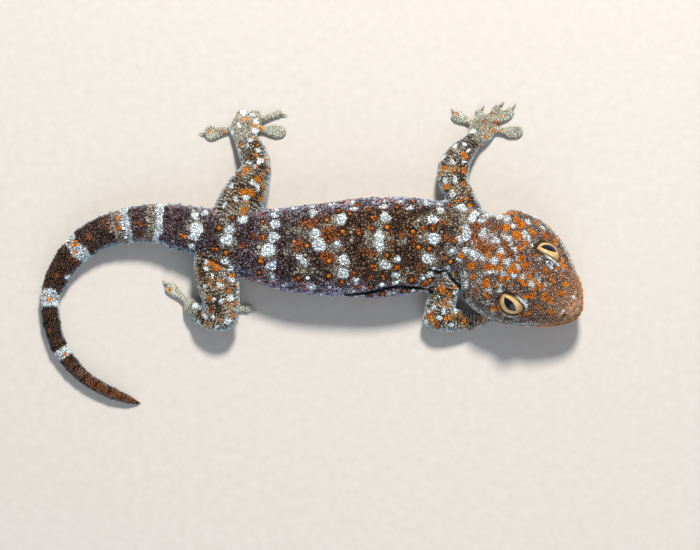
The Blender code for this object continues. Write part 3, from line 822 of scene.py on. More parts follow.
    def dent(self, points: ndarray, normals: ndarray, at: ndarray, pit: "Pit") -> ndarray:
        """Sinks a pit with a raised rim.

        Args:
            points: The skin's plan places.
            normals: Its outward directions.
            at: The pit's centre.
            pit: Its size.

        Returns:
            The new places.
        """
        far = np.linalg.norm(points - at, axis=1)
        push = -pit.depth * np.exp(-((far / pit.radius) ** 2))
        push += pit.rim * np.exp(-(((far - 1.7 * pit.radius) / (0.55 * pit.radius)) ** 2))
        return points + normals * push[:, None]

    def crease(self, points: ndarray, normals: ndarray, fold: "Fold", tree: BVHTree) -> ndarray:
        """Presses a soft line into the skin along a fold that the photograph shows."""
        far = fold.far(points, fold.line(tree))
        return points - normals * (fold.depth * np.exp(-((far / fold.width) ** 2)))[:, None]

    def build(self) -> Object:
        """Makes the skin.

        Returns:
            The skin, closed, with its unwrap in the map OFBake.
        """
        skin = self.gather()
        mesh = skin.data
        region = self.regions(points_of(mesh))
        points = self.sculpt(mesh, region)
        set_points(mesh, points)
        set_points(mesh, self.sink(mesh, points, region))
        thin = skin.modifiers.new("thin", "DECIMATE")
        triangles = sum(len(face.vertices) - 2 for face in mesh.polygons)
        thin.ratio = min(1.0, self.most_triangles / triangles)
        apply_all(skin)
        skin.data.shade_smooth()
        unwrap(skin, 0.002)
        return skin

    def sculpt(self, mesh: Mesh, region: ndarray) -> ndarray:
        """Softens the rough form, and works the eyes, the mouth, the pits and the folds into it.

        Args:
            mesh: The skin, which is changed on the way.
            region: The region number of each of its vertices.

        Returns:
            The new plan places.
        """
        points = points_of(mesh)
        step, _, _ = SPINE_LINE.nearest(points)
        width = SPINE_LINE.rows[step, 2]
        passes = np.array(self.passes)[region]
        passes = np.where(region == Region.TAIL, np.minimum(passes, 5.0 * width), passes)
        points = self.waist(self.soften(mesh, self.trim_claws(points), passes))
        points = self.shape_eyes(points)
        set_points(mesh, points)
        is_head = (region == Region.HEAD).astype(float)
        points = self.shape_head(points, normals_of(mesh), is_head)
        set_points(mesh, points)
        tree = tree_of(mesh)
        for place, pit in PITS:
            at = HEAD.place(*place)
            near = tree.find_nearest(at)[0]
            points = self.dent(points, normals_of(mesh), np.array(near), pit)
        for fold in FOLDS:
            points = self.crease(points, normals_of(mesh), fold, tree)
        return points

    def sink(self, mesh: Mesh, points: ndarray, region: ndarray) -> ndarray:
        """Draws the skin in by the depth of its scales, and keeps it off the floor.

        Args:
            mesh: The skin, for its outward directions.
            points: Its plan places.
            region: The region number of each.

        Returns:
            The new places.
        """
        deep = np.array(self.depth)[region]
        for eye in EYES.values():
            far, share = eye.measure(points)
            deep = np.where((far < self.bare[0]) & (share < self.bare[1]), 0.0, deep)
        points = points - normals_of(mesh) * (self.swell + deep)[:, None]
        points[:, 2] = np.maximum(points[:, 2], self.least_height)
        return points


@dataclass(frozen=True)
class Pit:
    """A small hollow with a raised rim."""

    radius: float
    depth: float
    rim: float


@dataclass(frozen=True)
class Fold:
    """A crease of the skin through pixels of the photograph: depth, width and how dark its painted shade is.
    """

    pixels: tuple[tuple[float, float], ...]
    depth: float
    width: float
    shade: float = 0.0

    def line(self, tree: BVHTree) -> list[ndarray]:
        """The fold's places on the skin."""
        marks = [seen_on(tree, x, y) for x, y in self.pixels]
        return [mark for mark in marks if mark is not None]

    def far(self, points: ndarray, marks: list[ndarray]) -> ndarray:
        """How far each point lies from the fold's line.

        Args:
            points: Plan places.
            marks: The line's corners.

        Returns:
            The distances, in millimetres.
        """
        far = np.full(len(points), 1e9)
        for start, end in zip(marks, marks[1:]):
            line = end - start
            share = np.clip((points - start) @ line / (line @ line), 0.0, 1.0)
            far = np.minimum(far, np.linalg.norm(points - start - share[:, None] * line, axis=1))
        return far


NOSTRIL = Pit(0.55, 0.7, 0.3)
EAR = Pit(1.3, 1.4, 0.25)
PITS = (
    ((18.4, 4.3, 16.5), NOSTRIL),
    ((18.4, -4.3, 16.5), NOSTRIL),
    ((-18.8, 19.0, 13.0), EAR),
    ((-17.2, -19.0, 13.0), EAR),
)
FOLDS = (
    Fold(((429, 269.6), (440, 273), (446.3, 270), (451, 278), (459.3, 286.6)), 1.0, 0.55, 0.95),
    Fold(((203, 257), (210.5, 259), (218, 263.3), (228, 268)), 0.8, 0.5, 0.85),
    Fold(
        (
            (318, 298), (345, 295.3), (369.9, 292.8), (386.5, 288.6), (396.4, 287), (407.2, 287.4),
            (419.6, 288.2), (432, 292),
        ), 1.0, 0.5, 0.95,
    ),
    Fold(((470, 222), (476, 240), (474, 262), (466, 280)), 0.35, 1.1),
    Fold(((450, 228), (462, 224), (468, 214)), 0.4, 0.8),
    Fold(((383, 236), (392, 246), (395, 262)), 0.25, 1.2),
)


def tree_of(mesh: Mesh) -> BVHTree:
    """A search tree over a mesh's faces, on the plan."""
    faces = [tuple(face.vertices) for face in mesh.polygons]
    return BVHTree.FromPolygons([tuple(point) for point in points_of(mesh)], faces)


def seen_on(tree: BVHTree, x: float, y: float) -> ndarray | None:
    """The place on a surface that a pixel of the photograph shows, or None where it misses."""
    hit = tree.ray_cast(Vector(VIEW.eye()), Vector(VIEW.ray(x, y)))
    return None if hit[0] is None else np.array(hit[0])


class Ink(Enum):
    """The kinds of marking, each laid over those before it."""

    CREAM = 0
    DARK = 1
    PALE = 2
    RUST = 3
    ORANGE = 4


def shade(red: int, green: int, blue: int) -> ndarray:
    """A field of the palette that holds a screen colour."""
    return field(default_factory=lambda: linear(red, green, blue))


@dataclass(frozen=True)
class Palette:
    """The linear colours of the animal's scales and of the skin between them."""

    # Each grain colour below is pale granules, and partly painted sheen on them
    trunk: ndarray = shade(74, 58, 61)
    trunk_grain: ndarray = shade(130, 119, 134)
    shoulder: ndarray = shade(70, 46, 32)
    shoulder_grain: ndarray = shade(142, 116, 92)
    flank: ndarray = shade(178, 184, 212)
    flush: ndarray = shade(206, 116, 86)
    head: ndarray = shade(116, 94, 82)
    head_grain: ndarray = shade(186, 178, 170)
    snout: ndarray = shade(176, 132, 100)
    jaw: ndarray = shade(206, 218, 220)
    gold: ndarray = shade(226, 150, 58)
    cream: ndarray = shade(164, 158, 144)
    dark: ndarray = shade(50, 34, 27)
    pale: ndarray = shade(232, 247, 255)
    rust: ndarray = shade(156, 84, 28)
    orange: ndarray = shade(206, 108, 4)
    amber: ndarray = shade(232, 142, 14)
    belly: ndarray = shade(206, 200, 178)
    leg: ndarray = shade(60, 42, 26)
    leg_pale: ndarray = shade(194, 189, 174)
    leg_edge: ndarray = shade(190, 214, 226)
    ochre: ndarray = shade(196, 126, 40)
    toe: ndarray = shade(194, 199, 184)
    toe_dark: ndarray = shade(104, 82, 56)
    tail: ndarray = shade(58, 38, 28)
    tail_edge: ndarray = shade(158, 188, 206)
    tail_grain: ndarray = shade(150, 112, 82)
    tip: ndarray = shade(124, 68, 28)
    tip_edge: ndarray = shade(156, 146, 138)

    def of(self, ink: Ink) -> ndarray:
        """The colour of a marking."""
        return getattr(self, ink.name.lower())


COLOURS = Palette()

# Spots that the photograph shows: x and y in pixels, and half the width in pixels
CREAM_SPOTS = (
    (266, 228, 6), (264, 236, 5), (262, 250, 7), (270, 253, 6), (268, 272, 5), (300, 231, 5), (308, 235, 7),
    (316, 238, 6), (306, 227, 5), (330, 247, 6), (337, 247, 5), (340, 219, 6), (328, 225, 4), (334, 221, 5),
    (300, 256, 6), (302, 263, 5), (299, 271, 6), (337, 262, 6), (343, 266, 7), (340, 273, 6),
    (369.5, 240, 7), (367, 236, 4), (381, 226, 6), (383, 240, 8), (381, 252, 6), (379, 262, 5),
    (378, 268, 3), (401, 240, 5), (422, 236, 6), (418, 223, 4), (424, 220, 5), (427, 255, 6),
    (456, 219, 4.5), (462, 219.5, 4.5), (449, 236, 4), (456, 235, 4), (412, 270, 4), (352, 296, 2.6),
    (366, 295.3, 2.6), (376, 294.6, 2.6), (388, 292.8, 2.8), (399, 291.2, 2.8), (409, 290.4, 2.6),
    (417, 290.2, 2.4), (424, 291, 2), (195, 229, 8), (197, 222, 5), (227, 230, 7), (226, 240, 7),
    (224, 252, 5), (288, 249, 4), (289, 228, 4), (314, 272, 4), (226, 219, 4), (434, 262, 5), (404, 280, 4),
    (196, 212, 4), (232, 245, 5), (352, 230, 3), (351, 241, 3), (441, 215, 5), (430, 216, 4),
    (488, 231, 2.6), (484, 236, 2.6), (485, 240, 2.6), (489, 243, 2.6), (494, 243.5, 2.6), (498, 241, 2.4),
    (492, 234, 4), (466, 254, 2.6), (469, 250.5, 2.6), (474, 250, 2.6), (479, 253, 2.6), (483, 257, 2.6),
    (484, 262, 2.4), (474, 256, 4), (506, 233, 2.6), (507, 239, 2.6), (510, 245, 2.6), (514.6, 250.7, 2.6),
    (515.7, 258.3, 2.6), (516.8, 264.8, 2.6), (500, 251, 3.4), (496, 259.4, 3), (491, 260, 3),
    (510, 260.5, 3), (506, 263.7, 3), (481, 275, 2.6), (485, 272.3, 2.6), (491, 271.3, 2.8),
    (497, 271.5, 2.8), (503, 273, 2.8), (509, 273.8, 2.8), (516, 275.7, 2.8), (523, 277, 2.6),
    (465.8, 275.5, 3), (466, 285.4, 3), (473.4, 284.4, 2.6), (479, 281.5, 2.4), (490, 291, 3.4),
    (499.4, 286, 3), (501.6, 290.5, 2.6), (532, 284.4, 3.4), (538.5, 279, 2.6), (546, 284.4, 2.2),
    (500, 218.5, 2.6), (506, 216.5, 2.6), (512, 213, 2.4), (519, 212, 2.4), (506, 222, 2.6), (512.4, 226, 3),
    (525.4, 233.4, 3), (528.7, 238.8, 2.8), (528.7, 222.5, 3.2), (536.3, 218.5, 2.6), (542.8, 228, 2.8),
    (546, 224.6, 2.6), (552.6, 227.5, 2.6), (555, 233.5, 2), (560, 240, 2), (564, 248, 2), (569, 257, 2),
    (574, 267, 2), (577, 276.5, 2), (536, 241.5, 2.2), (539, 258.5, 2.4), (519, 266, 2.4), (478, 296, 3),
    (472, 292, 3), (486, 303, 2.8), (493, 311, 2.6), (504, 317, 2.4), (516, 319, 2.4),
)
DARK_SPOTS = (
    (280, 236, 5), (284, 246, 5), (288, 226, 5), (292, 265, 5), (250, 222, 5), (242, 240, 5), (208, 232, 6),
    (212, 244, 6), (352, 220, 5), (356, 246, 6), (360, 262, 6), (398, 222, 6), (404, 250, 6), (412, 262, 6),
    (320, 268, 4), (396, 229, 5), (314, 263, 4), (322, 262, 4), (424, 212, 5), (448, 230, 5), (442, 246, 4),
    (346, 240, 4), (286, 276, 5), (314, 277, 3), (471.3, 135.6, 3), (453, 153.2, 3), (455.2, 173.8, 3),
    (459, 144.7, 2), (246.1, 150.5, 4), (260.9, 165.3, 3), (229.3, 189.1, 2), (207.2, 281.5, 3),
    (212.6, 286.9, 3), (218, 307, 3), (201.9, 320.4, 2.4), (215.3, 273.5, 2),
)
PALE_SPOTS_AND_GLINTS = (
    (194.9, 214.9, 4.5), (205.6, 212.6, 4), (196, 230, 6), (190.7, 237.4, 3), (191, 247, 3),
    (242.8, 219.5, 4.5), (229, 229, 4.5), (226.7, 239, 5), (225.5, 260.4, 4), (230.1, 268.4, 3),
    (276.8, 210.3, 4), (274.9, 215.3, 4), (275.7, 224.1, 4.5), (274.1, 237.4, 4.5), (268, 250, 6.5),
    (264, 254, 4), (271.8, 265, 4.5), (272.6, 276.9, 4.5), (258.8, 280.3, 3.5), (283.3, 285.3, 2.5),
    (281, 291.4, 2.5), (295.9, 292.9, 3), (293, 208.7, 3), (312.1, 207.2, 3), (312.9, 213.3, 4),
    (330.1, 204.9, 2.5), (336.2, 203.8, 2.5), (352.7, 202.2, 3), (354.6, 208.7, 3.5), (365.7, 198, 2.5),
    (381.8, 197.7, 3), (384.5, 201.9, 3), (383.7, 207.6, 3.5), (341.2, 219.1, 5.5), (385.6, 218.7, 5.5),
    (314.1, 233.6, 6), (319.4, 245.1, 6), (336.6, 243.6, 4), (379.5, 236, 5), (379.5, 245, 5),
    (343.9, 259.3, 5.5), (343.5, 273, 5.5), (385.2, 264, 5.5), (395.6, 274.9, 3.5), (355.8, 280.7, 3.5),
    (353.5, 291, 3), (394, 292.3, 3), (388, 293.4, 2.6), (356, 296, 2.4), (362, 295.6, 2.2), (413, 290.3, 2),
    (420, 290.2, 2), (311, 287.2, 4), (321.3, 294.1, 2.5), (307.6, 278, 2.5), (302.2, 262.7, 3.5),
    (299.1, 256.6, 3.5), (381.8, 284.9, 3), (398.4, 259.6, 3), (396.8, 282.4, 3), (400.7, 201.5, 3),
    (410, 208, 3), (425.9, 202.6, 3.5), (439.3, 204.5, 3), (442, 209.9, 3), (462.3, 208.4, 5.5),
    (473.4, 213, 4.5), (486.4, 215.3, 4.5), (432.8, 219.8, 5.5), (471.5, 218.3, 4), (482.2, 221.4, 4),
    (434.3, 238.6, 6), (466.5, 228.3, 4), (459.6, 240.5, 4), (474.9, 242, 4), (467, 236, 4.5),
    (451.9, 251.2, 3.5), (427.4, 258.1, 5.5), (459.6, 260.4, 3.5), (433.6, 268.4, 3.5), (445.8, 272.7, 5),
    (447.3, 268, 3), (430.1, 274.6, 3), (423.2, 278.4, 3), (465, 275, 3), (513.5, 225.8, 3.2),
    (524.3, 233.4, 3.4), (529.2, 222.5, 3.2), (536.8, 217.6, 3.2), (543.3, 227.4, 2.6), (554.7, 232.3, 2.2),
    (482.4, 231.4, 4), (485.3, 240.4, 3.6), (491.4, 242.5, 3.2), (496.6, 239.5, 3), (481.8, 236, 3.4),
    (499.4, 217.5, 4), (507.4, 219.5, 3.6), (510.8, 244.2, 2.8), (508, 237.7, 2.8), (516.7, 250.7, 2.4),
    (500.5, 250.7, 3.4), (494, 259.4, 3.6), (508, 262.6, 3.2), (472, 252.5, 3.2), (477, 254.5, 3.2),
    (481, 258.5, 3), (466, 250.5, 3), (518.5, 265.6, 2.4), (489, 271.6, 2.6), (495, 272.6, 2.2),
    (504, 273.4, 2.6), (514, 274.4, 2.6), (521, 275.6, 2.2), (465.8, 284.6, 3), (539, 279.4, 2),
    (532.5, 284.3, 2.8), (499.4, 289.7, 2.8), (489.1, 290.8, 3), (548.3, 262.9, 2.4), (552.8, 264.4, 2.6),
    (557, 264, 2.4), (524.6, 302, 3.2), (526.5, 306.4, 2.6), (531, 245, 1.6), (529.5, 237, 2),
    (500, 295, 2.2), (502, 285, 2), (545, 289, 1.6), (556, 272, 1.8), (546.5, 264.8, 2.2),
    # (575, 297.5) and (563, 313) in the next row are painted highlights, the glints on the bulges by the
    # nostrils
    (551.5, 266.4, 2.6), (557, 264, 2.2), (575, 297.5, 2), (563, 313, 2), (464.4, 144, 2.2),
    (454.9, 145.9, 2.6), (469, 149.7, 2.4), (442.2, 158.5, 3), (452.2, 162.3, 2.4), (464.4, 162.7, 2),
    (444.5, 179.9, 3), (455.2, 179.2, 2.6), (453, 193.7, 2.8), (461.4, 208.2, 3.4), (441.5, 209.8, 3.6),
    (483.6, 144.7, 1.6), (472.8, 131, 2.4), (491.2, 137.8, 3), (462.1, 114.1, 2), (239.5, 124.9, 3),
    (243.3, 112.3, 4), (252.1, 115.1, 2.6), (256.3, 121, 2.6), (256, 131.5, 4), (231.4, 133, 3),
    (250.4, 140.7, 2.4), (246.5, 145.3, 1.8), (239.5, 151.6, 2.2), (258.1, 150.5, 2.6), (249.6, 161.7, 2.2),
    (259, 161, 3.4), (254.2, 164.9, 2), (262.3, 161, 2.4), (240.2, 166, 1.8), (230.7, 186.3, 2.6),
    (236.3, 199.6, 2.4), (224.4, 205.3, 3), (246, 199.3, 2.4), (257, 187.7, 3), (252.5, 183.5, 3),
    (205.6, 268.8, 3), (205.9, 262.1, 2), (211.9, 276.8, 2.4), (220, 284.9, 3), (232, 280.2, 2.6),
    (203.9, 288.6, 1.8), (230.7, 298.3, 3.4), (221, 299.9, 3), (212.6, 299.6, 2), (237.4, 293.6, 2.4),
    (205.2, 315.7, 2.8), (212.3, 317.7, 2.2), (199.2, 322.4, 2.2), (218, 325.7, 2), (228.7, 321, 3.4),
    (195.2, 305.6, 3.4), (201.2, 306.3, 2.4), (454.8, 309.6, 3.6), (439.9, 295.8, 2), (433.8, 307.3, 2),
    (439.3, 317.6, 2.6), (422, 322.2, 2), (428.9, 310.8, 2.4), (451.3, 325.1, 3), (443.3, 311.9, 2.4),
    (450.2, 302.1, 2), (455.9, 293, 2.6), (423.2, 278.3, 3.4), (430.4, 274.3, 2), (446.7, 273.4, 3),
    (196, 214.5, 2.6), (195.6, 225.6, 4), (194.1, 236.3, 4), (205.6, 212.6, 3.5), (191, 246.3, 3),
    (67.5, 276.3, 4), (122.4, 228.8, 1.6),
)
RUST_SPOTS = (
    (252.7, 236.7, 3), (263.4, 222.5, 3), (298.6, 242.8, 4), (298, 250, 3), (306, 223, 4.5), (314, 222, 4.5),
    (329, 234.4, 8), (325.2, 255, 4.5), (329, 256, 5), (353.5, 273, 3), (357.3, 286.4, 2.6),
    (370.7, 277.2, 2.6), (368.8, 208.4, 2.4), (363, 252, 4), (372, 253, 4), (402, 235, 3), (406, 227.5, 3),
    (414, 236, 3.5), (413, 243, 3), (391, 235, 2.6), (391, 244, 2.6), (443.5, 222, 3), (420, 268, 3),
    (446, 238, 4), (483, 243, 5), (350, 212, 3), (244, 246, 2.6), (484.2, 247.5, 6.5), (492, 247.5, 4),
    (478, 243, 5), (474, 238, 4), (502.6, 243.1, 3.4), (507, 247, 3), (509.7, 255, 4), (497.8, 226.9, 3.6),
    (492.3, 231.2, 2.6), (488, 223.4, 2.6), (514, 264, 2.4), (474.5, 291.9, 4), (477, 227, 5),
    (545.5, 267.6, 2.4), (548, 272.5, 2.8), (525, 297.5, 2.2), (494.5, 289, 1.6), (490.4, 113, 2.6),
    (485.1, 121, 2.4), (495.8, 123.7, 3), (466.7, 158.5, 2.6), (449.5, 152, 2.4), (238.1, 175.1, 2.6),
    (232.1, 196.1, 2.6), (215.3, 269.5, 3), (227.7, 289.6, 3.4), (210.6, 310.3, 3), (188.2, 311, 1.6),
    (462, 310.2, 2.4), (68.8, 243.5, 2.2), (140, 224, 3), (90, 238, 2.4), (58, 275, 2.4), (50, 330, 2.4),
    (57, 300, 1.6),
)
ORANGE_SPOTS = (
    (232.8, 217.9, 2.4), (219, 228.3, 2.6), (216.7, 249.3, 2.6), (225.9, 252.8, 2.4), (263, 236.7, 2.8),
    (260, 261.2, 2.8), (259.2, 272.7, 2.2), (298.2, 278, 2.8), (183.1, 235.9, 2.4), (306.8, 245.9, 2.6),
    (326.7, 220.2, 2.6), (342.8, 231.7, 2.8), (358.8, 233.6, 2.6), (372.2, 217.5, 2.4), (372.2, 228.6, 2.4),
    (387.1, 227.5, 2.4), (387, 255.4, 2.4), (372.2, 266.5, 2.8), (329, 261.2, 2.8), (328.6, 276.1, 2.8),
    (342, 282.2, 2.8), (382.9, 276.5, 2.4), (371, 286.4, 2.4), (356.5, 204.5, 2), (338.5, 210.7, 2.2),
    (433.6, 200.7, 2.2), (422.9, 227.5, 2.4), (432.8, 227.1, 2.4), (412.9, 231.7, 2.4), (429.4, 248.9, 2.6),
    (418.3, 247.4, 2.4), (396.8, 268, 2.4), (411.4, 280.3, 2.4), (425.9, 283.4, 2.2), (453.5, 241.3, 2.4),
    (450.4, 261.9, 2.4), (396.8, 207.6, 2.2), (412.9, 201.5, 2.2), (448.9, 204.5, 2.2), (369.5, 295.4, 2.2),
    (382.5, 293.6, 2.2), (404.5, 291, 2.2), (506, 213.8, 2.6), (510.8, 213.3, 2.6), (515.5, 212.4, 2.2),
    (516.7, 219.3, 3), (521.1, 224.7, 4), (505.4, 227.9, 3.6), (536.3, 222.5, 2.4), (548.7, 227.4, 2),
    (530.6, 231.2, 2.6), (534.6, 235, 2.8), (544.9, 236.1, 3.5), (555.8, 242.6, 2.6), (556.8, 239, 2.2),
    (516.7, 235, 4.5), (526, 242, 2.6), (530.8, 247.5, 1.4), (520.5, 247.5, 2.6), (528.7, 255, 1.4),
    (521.1, 258.3, 2.8), (535.7, 256.4, 1.5), (530.3, 262.6, 1.4), (526, 266.4, 2.8), (489, 256, 2.4),
    (497.8, 255, 2.4), (502.1, 260.5, 2.6), (487, 266.5, 2.8), (492, 266.5, 2.8), (499, 268, 3),
    (509, 269.5, 2.4), (513.5, 268.6, 3.2), (514.5, 264.5, 2), (518, 270.6, 1.8), (533, 271.9, 2.6),
    (544.9, 269.7, 2.6), (557.9, 269.7, 2.4), (560, 252, 2), (561, 257, 2.2), (562.6, 262, 2.2),
    (564.2, 266.5, 2.4), (527, 276, 2.4), (531, 279, 2.4), (536, 281.6, 2), (501.5, 277.6, 2.4),
    (507.5, 277.3, 2.2), (519, 281, 2.2), (523, 283.4, 2.4), (526, 286, 2), (540.6, 286, 3.5),
    (551.6, 276, 2.2), (552.6, 281, 2.6), (561.2, 275.7, 2.2), (566.1, 284.3, 2.6), (552, 289.5, 2),
    (533.5, 290, 2), (561.7, 292.5, 2.8), (505.9, 284.1, 1.4), (511.3, 284.9, 1.4), (495.1, 285.4, 2.2),
    (485.8, 283.8, 4.2), (472.3, 276.2, 2.4), (470.7, 265.4, 3.2), (486.4, 296.3, 2.4), (493, 308, 2.4),
    (497, 309, 2.2), (525.5, 295.7, 2.4), (530.8, 296.8, 3.2), (545.6, 296.4, 3), (550.4, 300.4, 2.8),
    (537.9, 306.8, 2.8), (550.3, 310.3, 2.2), (543.3, 310.3, 1.6), (518, 314.8, 2.4), (524, 313.8, 2.6),
    (530, 312.6, 2.4), (462.5, 256.1, 2.6), (450, 262.1, 2.4), (572, 280.4, 1.8), (574.7, 286.5, 1.8),
    (456.8, 114.1, 1.8), (466.3, 121.4, 1.4), (501.2, 116, 1.4), (492.7, 131.3, 1.8), (502.3, 131.7, 1.6),
    (486.2, 136.3, 2), (480.1, 146.6, 1.8), (464.8, 155.4, 3.2), (474.8, 159.3, 1.6), (442.6, 167.3, 2.6),
    (463.7, 170.4, 2.6), (466.3, 171.9, 2), (452.2, 171.5, 1.4), (439.6, 175.3, 1.8), (464, 184.5, 2.2),
    (446.4, 185.7, 2.2), (446.4, 188.3, 2.4), (467.5, 198.3, 2), (456.8, 201.4, 2.6), (449.1, 204.4, 3),
    (433.8, 200.6, 2.4), (471.3, 205.9, 2), (470.6, 210.9, 2), (245.4, 119.6, 2), (254.2, 125.3, 2.2),
    (261.2, 127, 2.2), (260.9, 115.1, 1.6), (223.7, 131.9, 1.8), (216.3, 131.9, 1.4), (208.6, 132.4, 1.8),
    (256, 155.8, 1.8), (257.4, 144.2, 1.6), (266.1, 158.2, 1.2), (258.4, 167.7, 1.5), (244.7, 168.4, 2.4),
    (256.7, 179.6, 2.6), (262.3, 187, 2.8), (244, 193.3, 3), (251, 194, 3), (260.2, 197.5, 2.4),
    (244.7, 208.4, 3), (213.3, 263.1, 3.5), (218, 266.8, 3.4), (232, 275.2, 2.2), (217.3, 279.5, 1.4),
    (221, 279.9, 1.4), (235.7, 285.5, 2), (228.7, 291.2, 1.6), (236.4, 302.3, 2.6), (228.7, 306, 2),
    (208.9, 299.6, 1.8), (232, 315.7, 2), (222.3, 321.4, 1.2), (171.1, 290.6, 2), (201.2, 255.4, 1.6),
    (441.3, 289.8, 2.4), (444.4, 291.5, 1.6), (450.8, 293.2, 2.2), (454.2, 286.1, 2), (447.6, 299.6, 1.8),
    (431.5, 315.4, 3.4), (432.1, 318.2, 2), (447.9, 317.1, 2), (445.3, 319.1, 2), (454.5, 313.9, 1.6),
    (464, 319.9, 2), (426.1, 283.2, 3), (430.1, 280.3, 2), (411.7, 279.8, 3), (432.1, 288.7, 1.6),
    (446.7, 307.9, 1.2), (118.7, 218, 1.8), (119.5, 227.9, 2.2), (76.2, 243.1, 2.4), (75.5, 252.2, 2.2),
    (49.8, 300.2, 2.4), (43.4, 295.1, 1.6), (64.1, 354.7, 2), (183, 235.9, 2),
)
# The pale bands of the tail: how far from its tip, half the width in millimetres, and its colour
TAIL_BANDS = (
    (35.1, 1.7, "PALE"), (56.3, 3.4, "PALE"), (78.6, 2.7, "PALE"),
    (96.2, 2.2, "CREAM"), (99.6, 1.4, "PALE"), (109.0, 2.2, "CREAM"), (112.0, 1.5, "PALE"),
)


def nearest_of(lines: Sequence[MiddleLine], points: ndarray) -> tuple[ndarray, ndarray, ndarray]:
    """Finds whichever of several lines lies nearest to each point.

    Args:
        lines: The lines.
        points: Plan places.

    Returns:
        The line's direction there, how far along it that is, and how far off the point lies.
    """
    places = np.concatenate([line.rows[:, :2] for line in lines])
    ways = np.concatenate([line.along for line in lines])
    runs = np.concatenate([line.run for line in lines])
    tree = search_tree(np.pad(places, ((0, 0), (0, 1))))
    found = np.array([tree.find((x, y, 0.0))[1] for x, y in points[:, :2].tolist()], int)
    off = points[:, :2] - places[found]
    ahead = (off * ways[found]).sum(axis=1)
    return ways[found], runs[found] + ahead, np.linalg.norm(off, axis=1)


LEG_WAYS = [MiddleLine([(x, y, 0.0, 0.0) for x, y in line], 0.6) for line in LEG_LINES.values()]
TOE_WAYS = [
    MiddleLine([(*place, 0, 0) for place in (PALMS[foot], pad, tip)], 0.5)
    for foot, toes in TOES.items() for pad, tip, _ in toes
]


@dataclass(frozen=True)
class Spot:
    """One marking: its place on the skin, its half width in millimetres and its colour."""

    at: ndarray
    radius: float
    ink: Ink


@dataclass(frozen=True)
class Sample:
    """Places to be coloured, with the randomness that their layers of colour share."""

    points: ndarray
    normals: ndarray
    region: ndarray
    speck: ndarray
    coarse: ndarray
    fine: ndarray
    along: ndarray
    flank: ndarray
    side: ndarray

    @classmethod
    def of(cls, points: ndarray, normals: ndarray, region: ndarray, seed: int) -> "Sample":
        """Measures places.

        Args:
            points: Plan places.
            normals: The skin's outward directions.
            region: The number of each place's region.
            seed: The seed of the scatter from one scale to the next.

        Returns:
            The sample, with how far along the spine each place lies, its share of the half width
            away from the spine, and how far to the left that is.
        """
        speck = np.random.default_rng(seed).random(len(points))
        step, along, side = SPINE_LINE.nearest(points)
        flank = np.abs(side) / np.maximum(SPINE_LINE.rows[step, 2], 1.0)
        coarse, fine = ripple(points, 5.0, 3.0), ripple(points, 1.4, 9.0)
        return cls(points, normals, region, speck, coarse, fine, along, flank, side)

    def grains(self, low: float, high: float) -> ndarray:
        """The share of scales of a second colour, scattered one by one and in soft clusters."""
        return smooth_step(low, high, self.speck + 0.28 * self.fine)


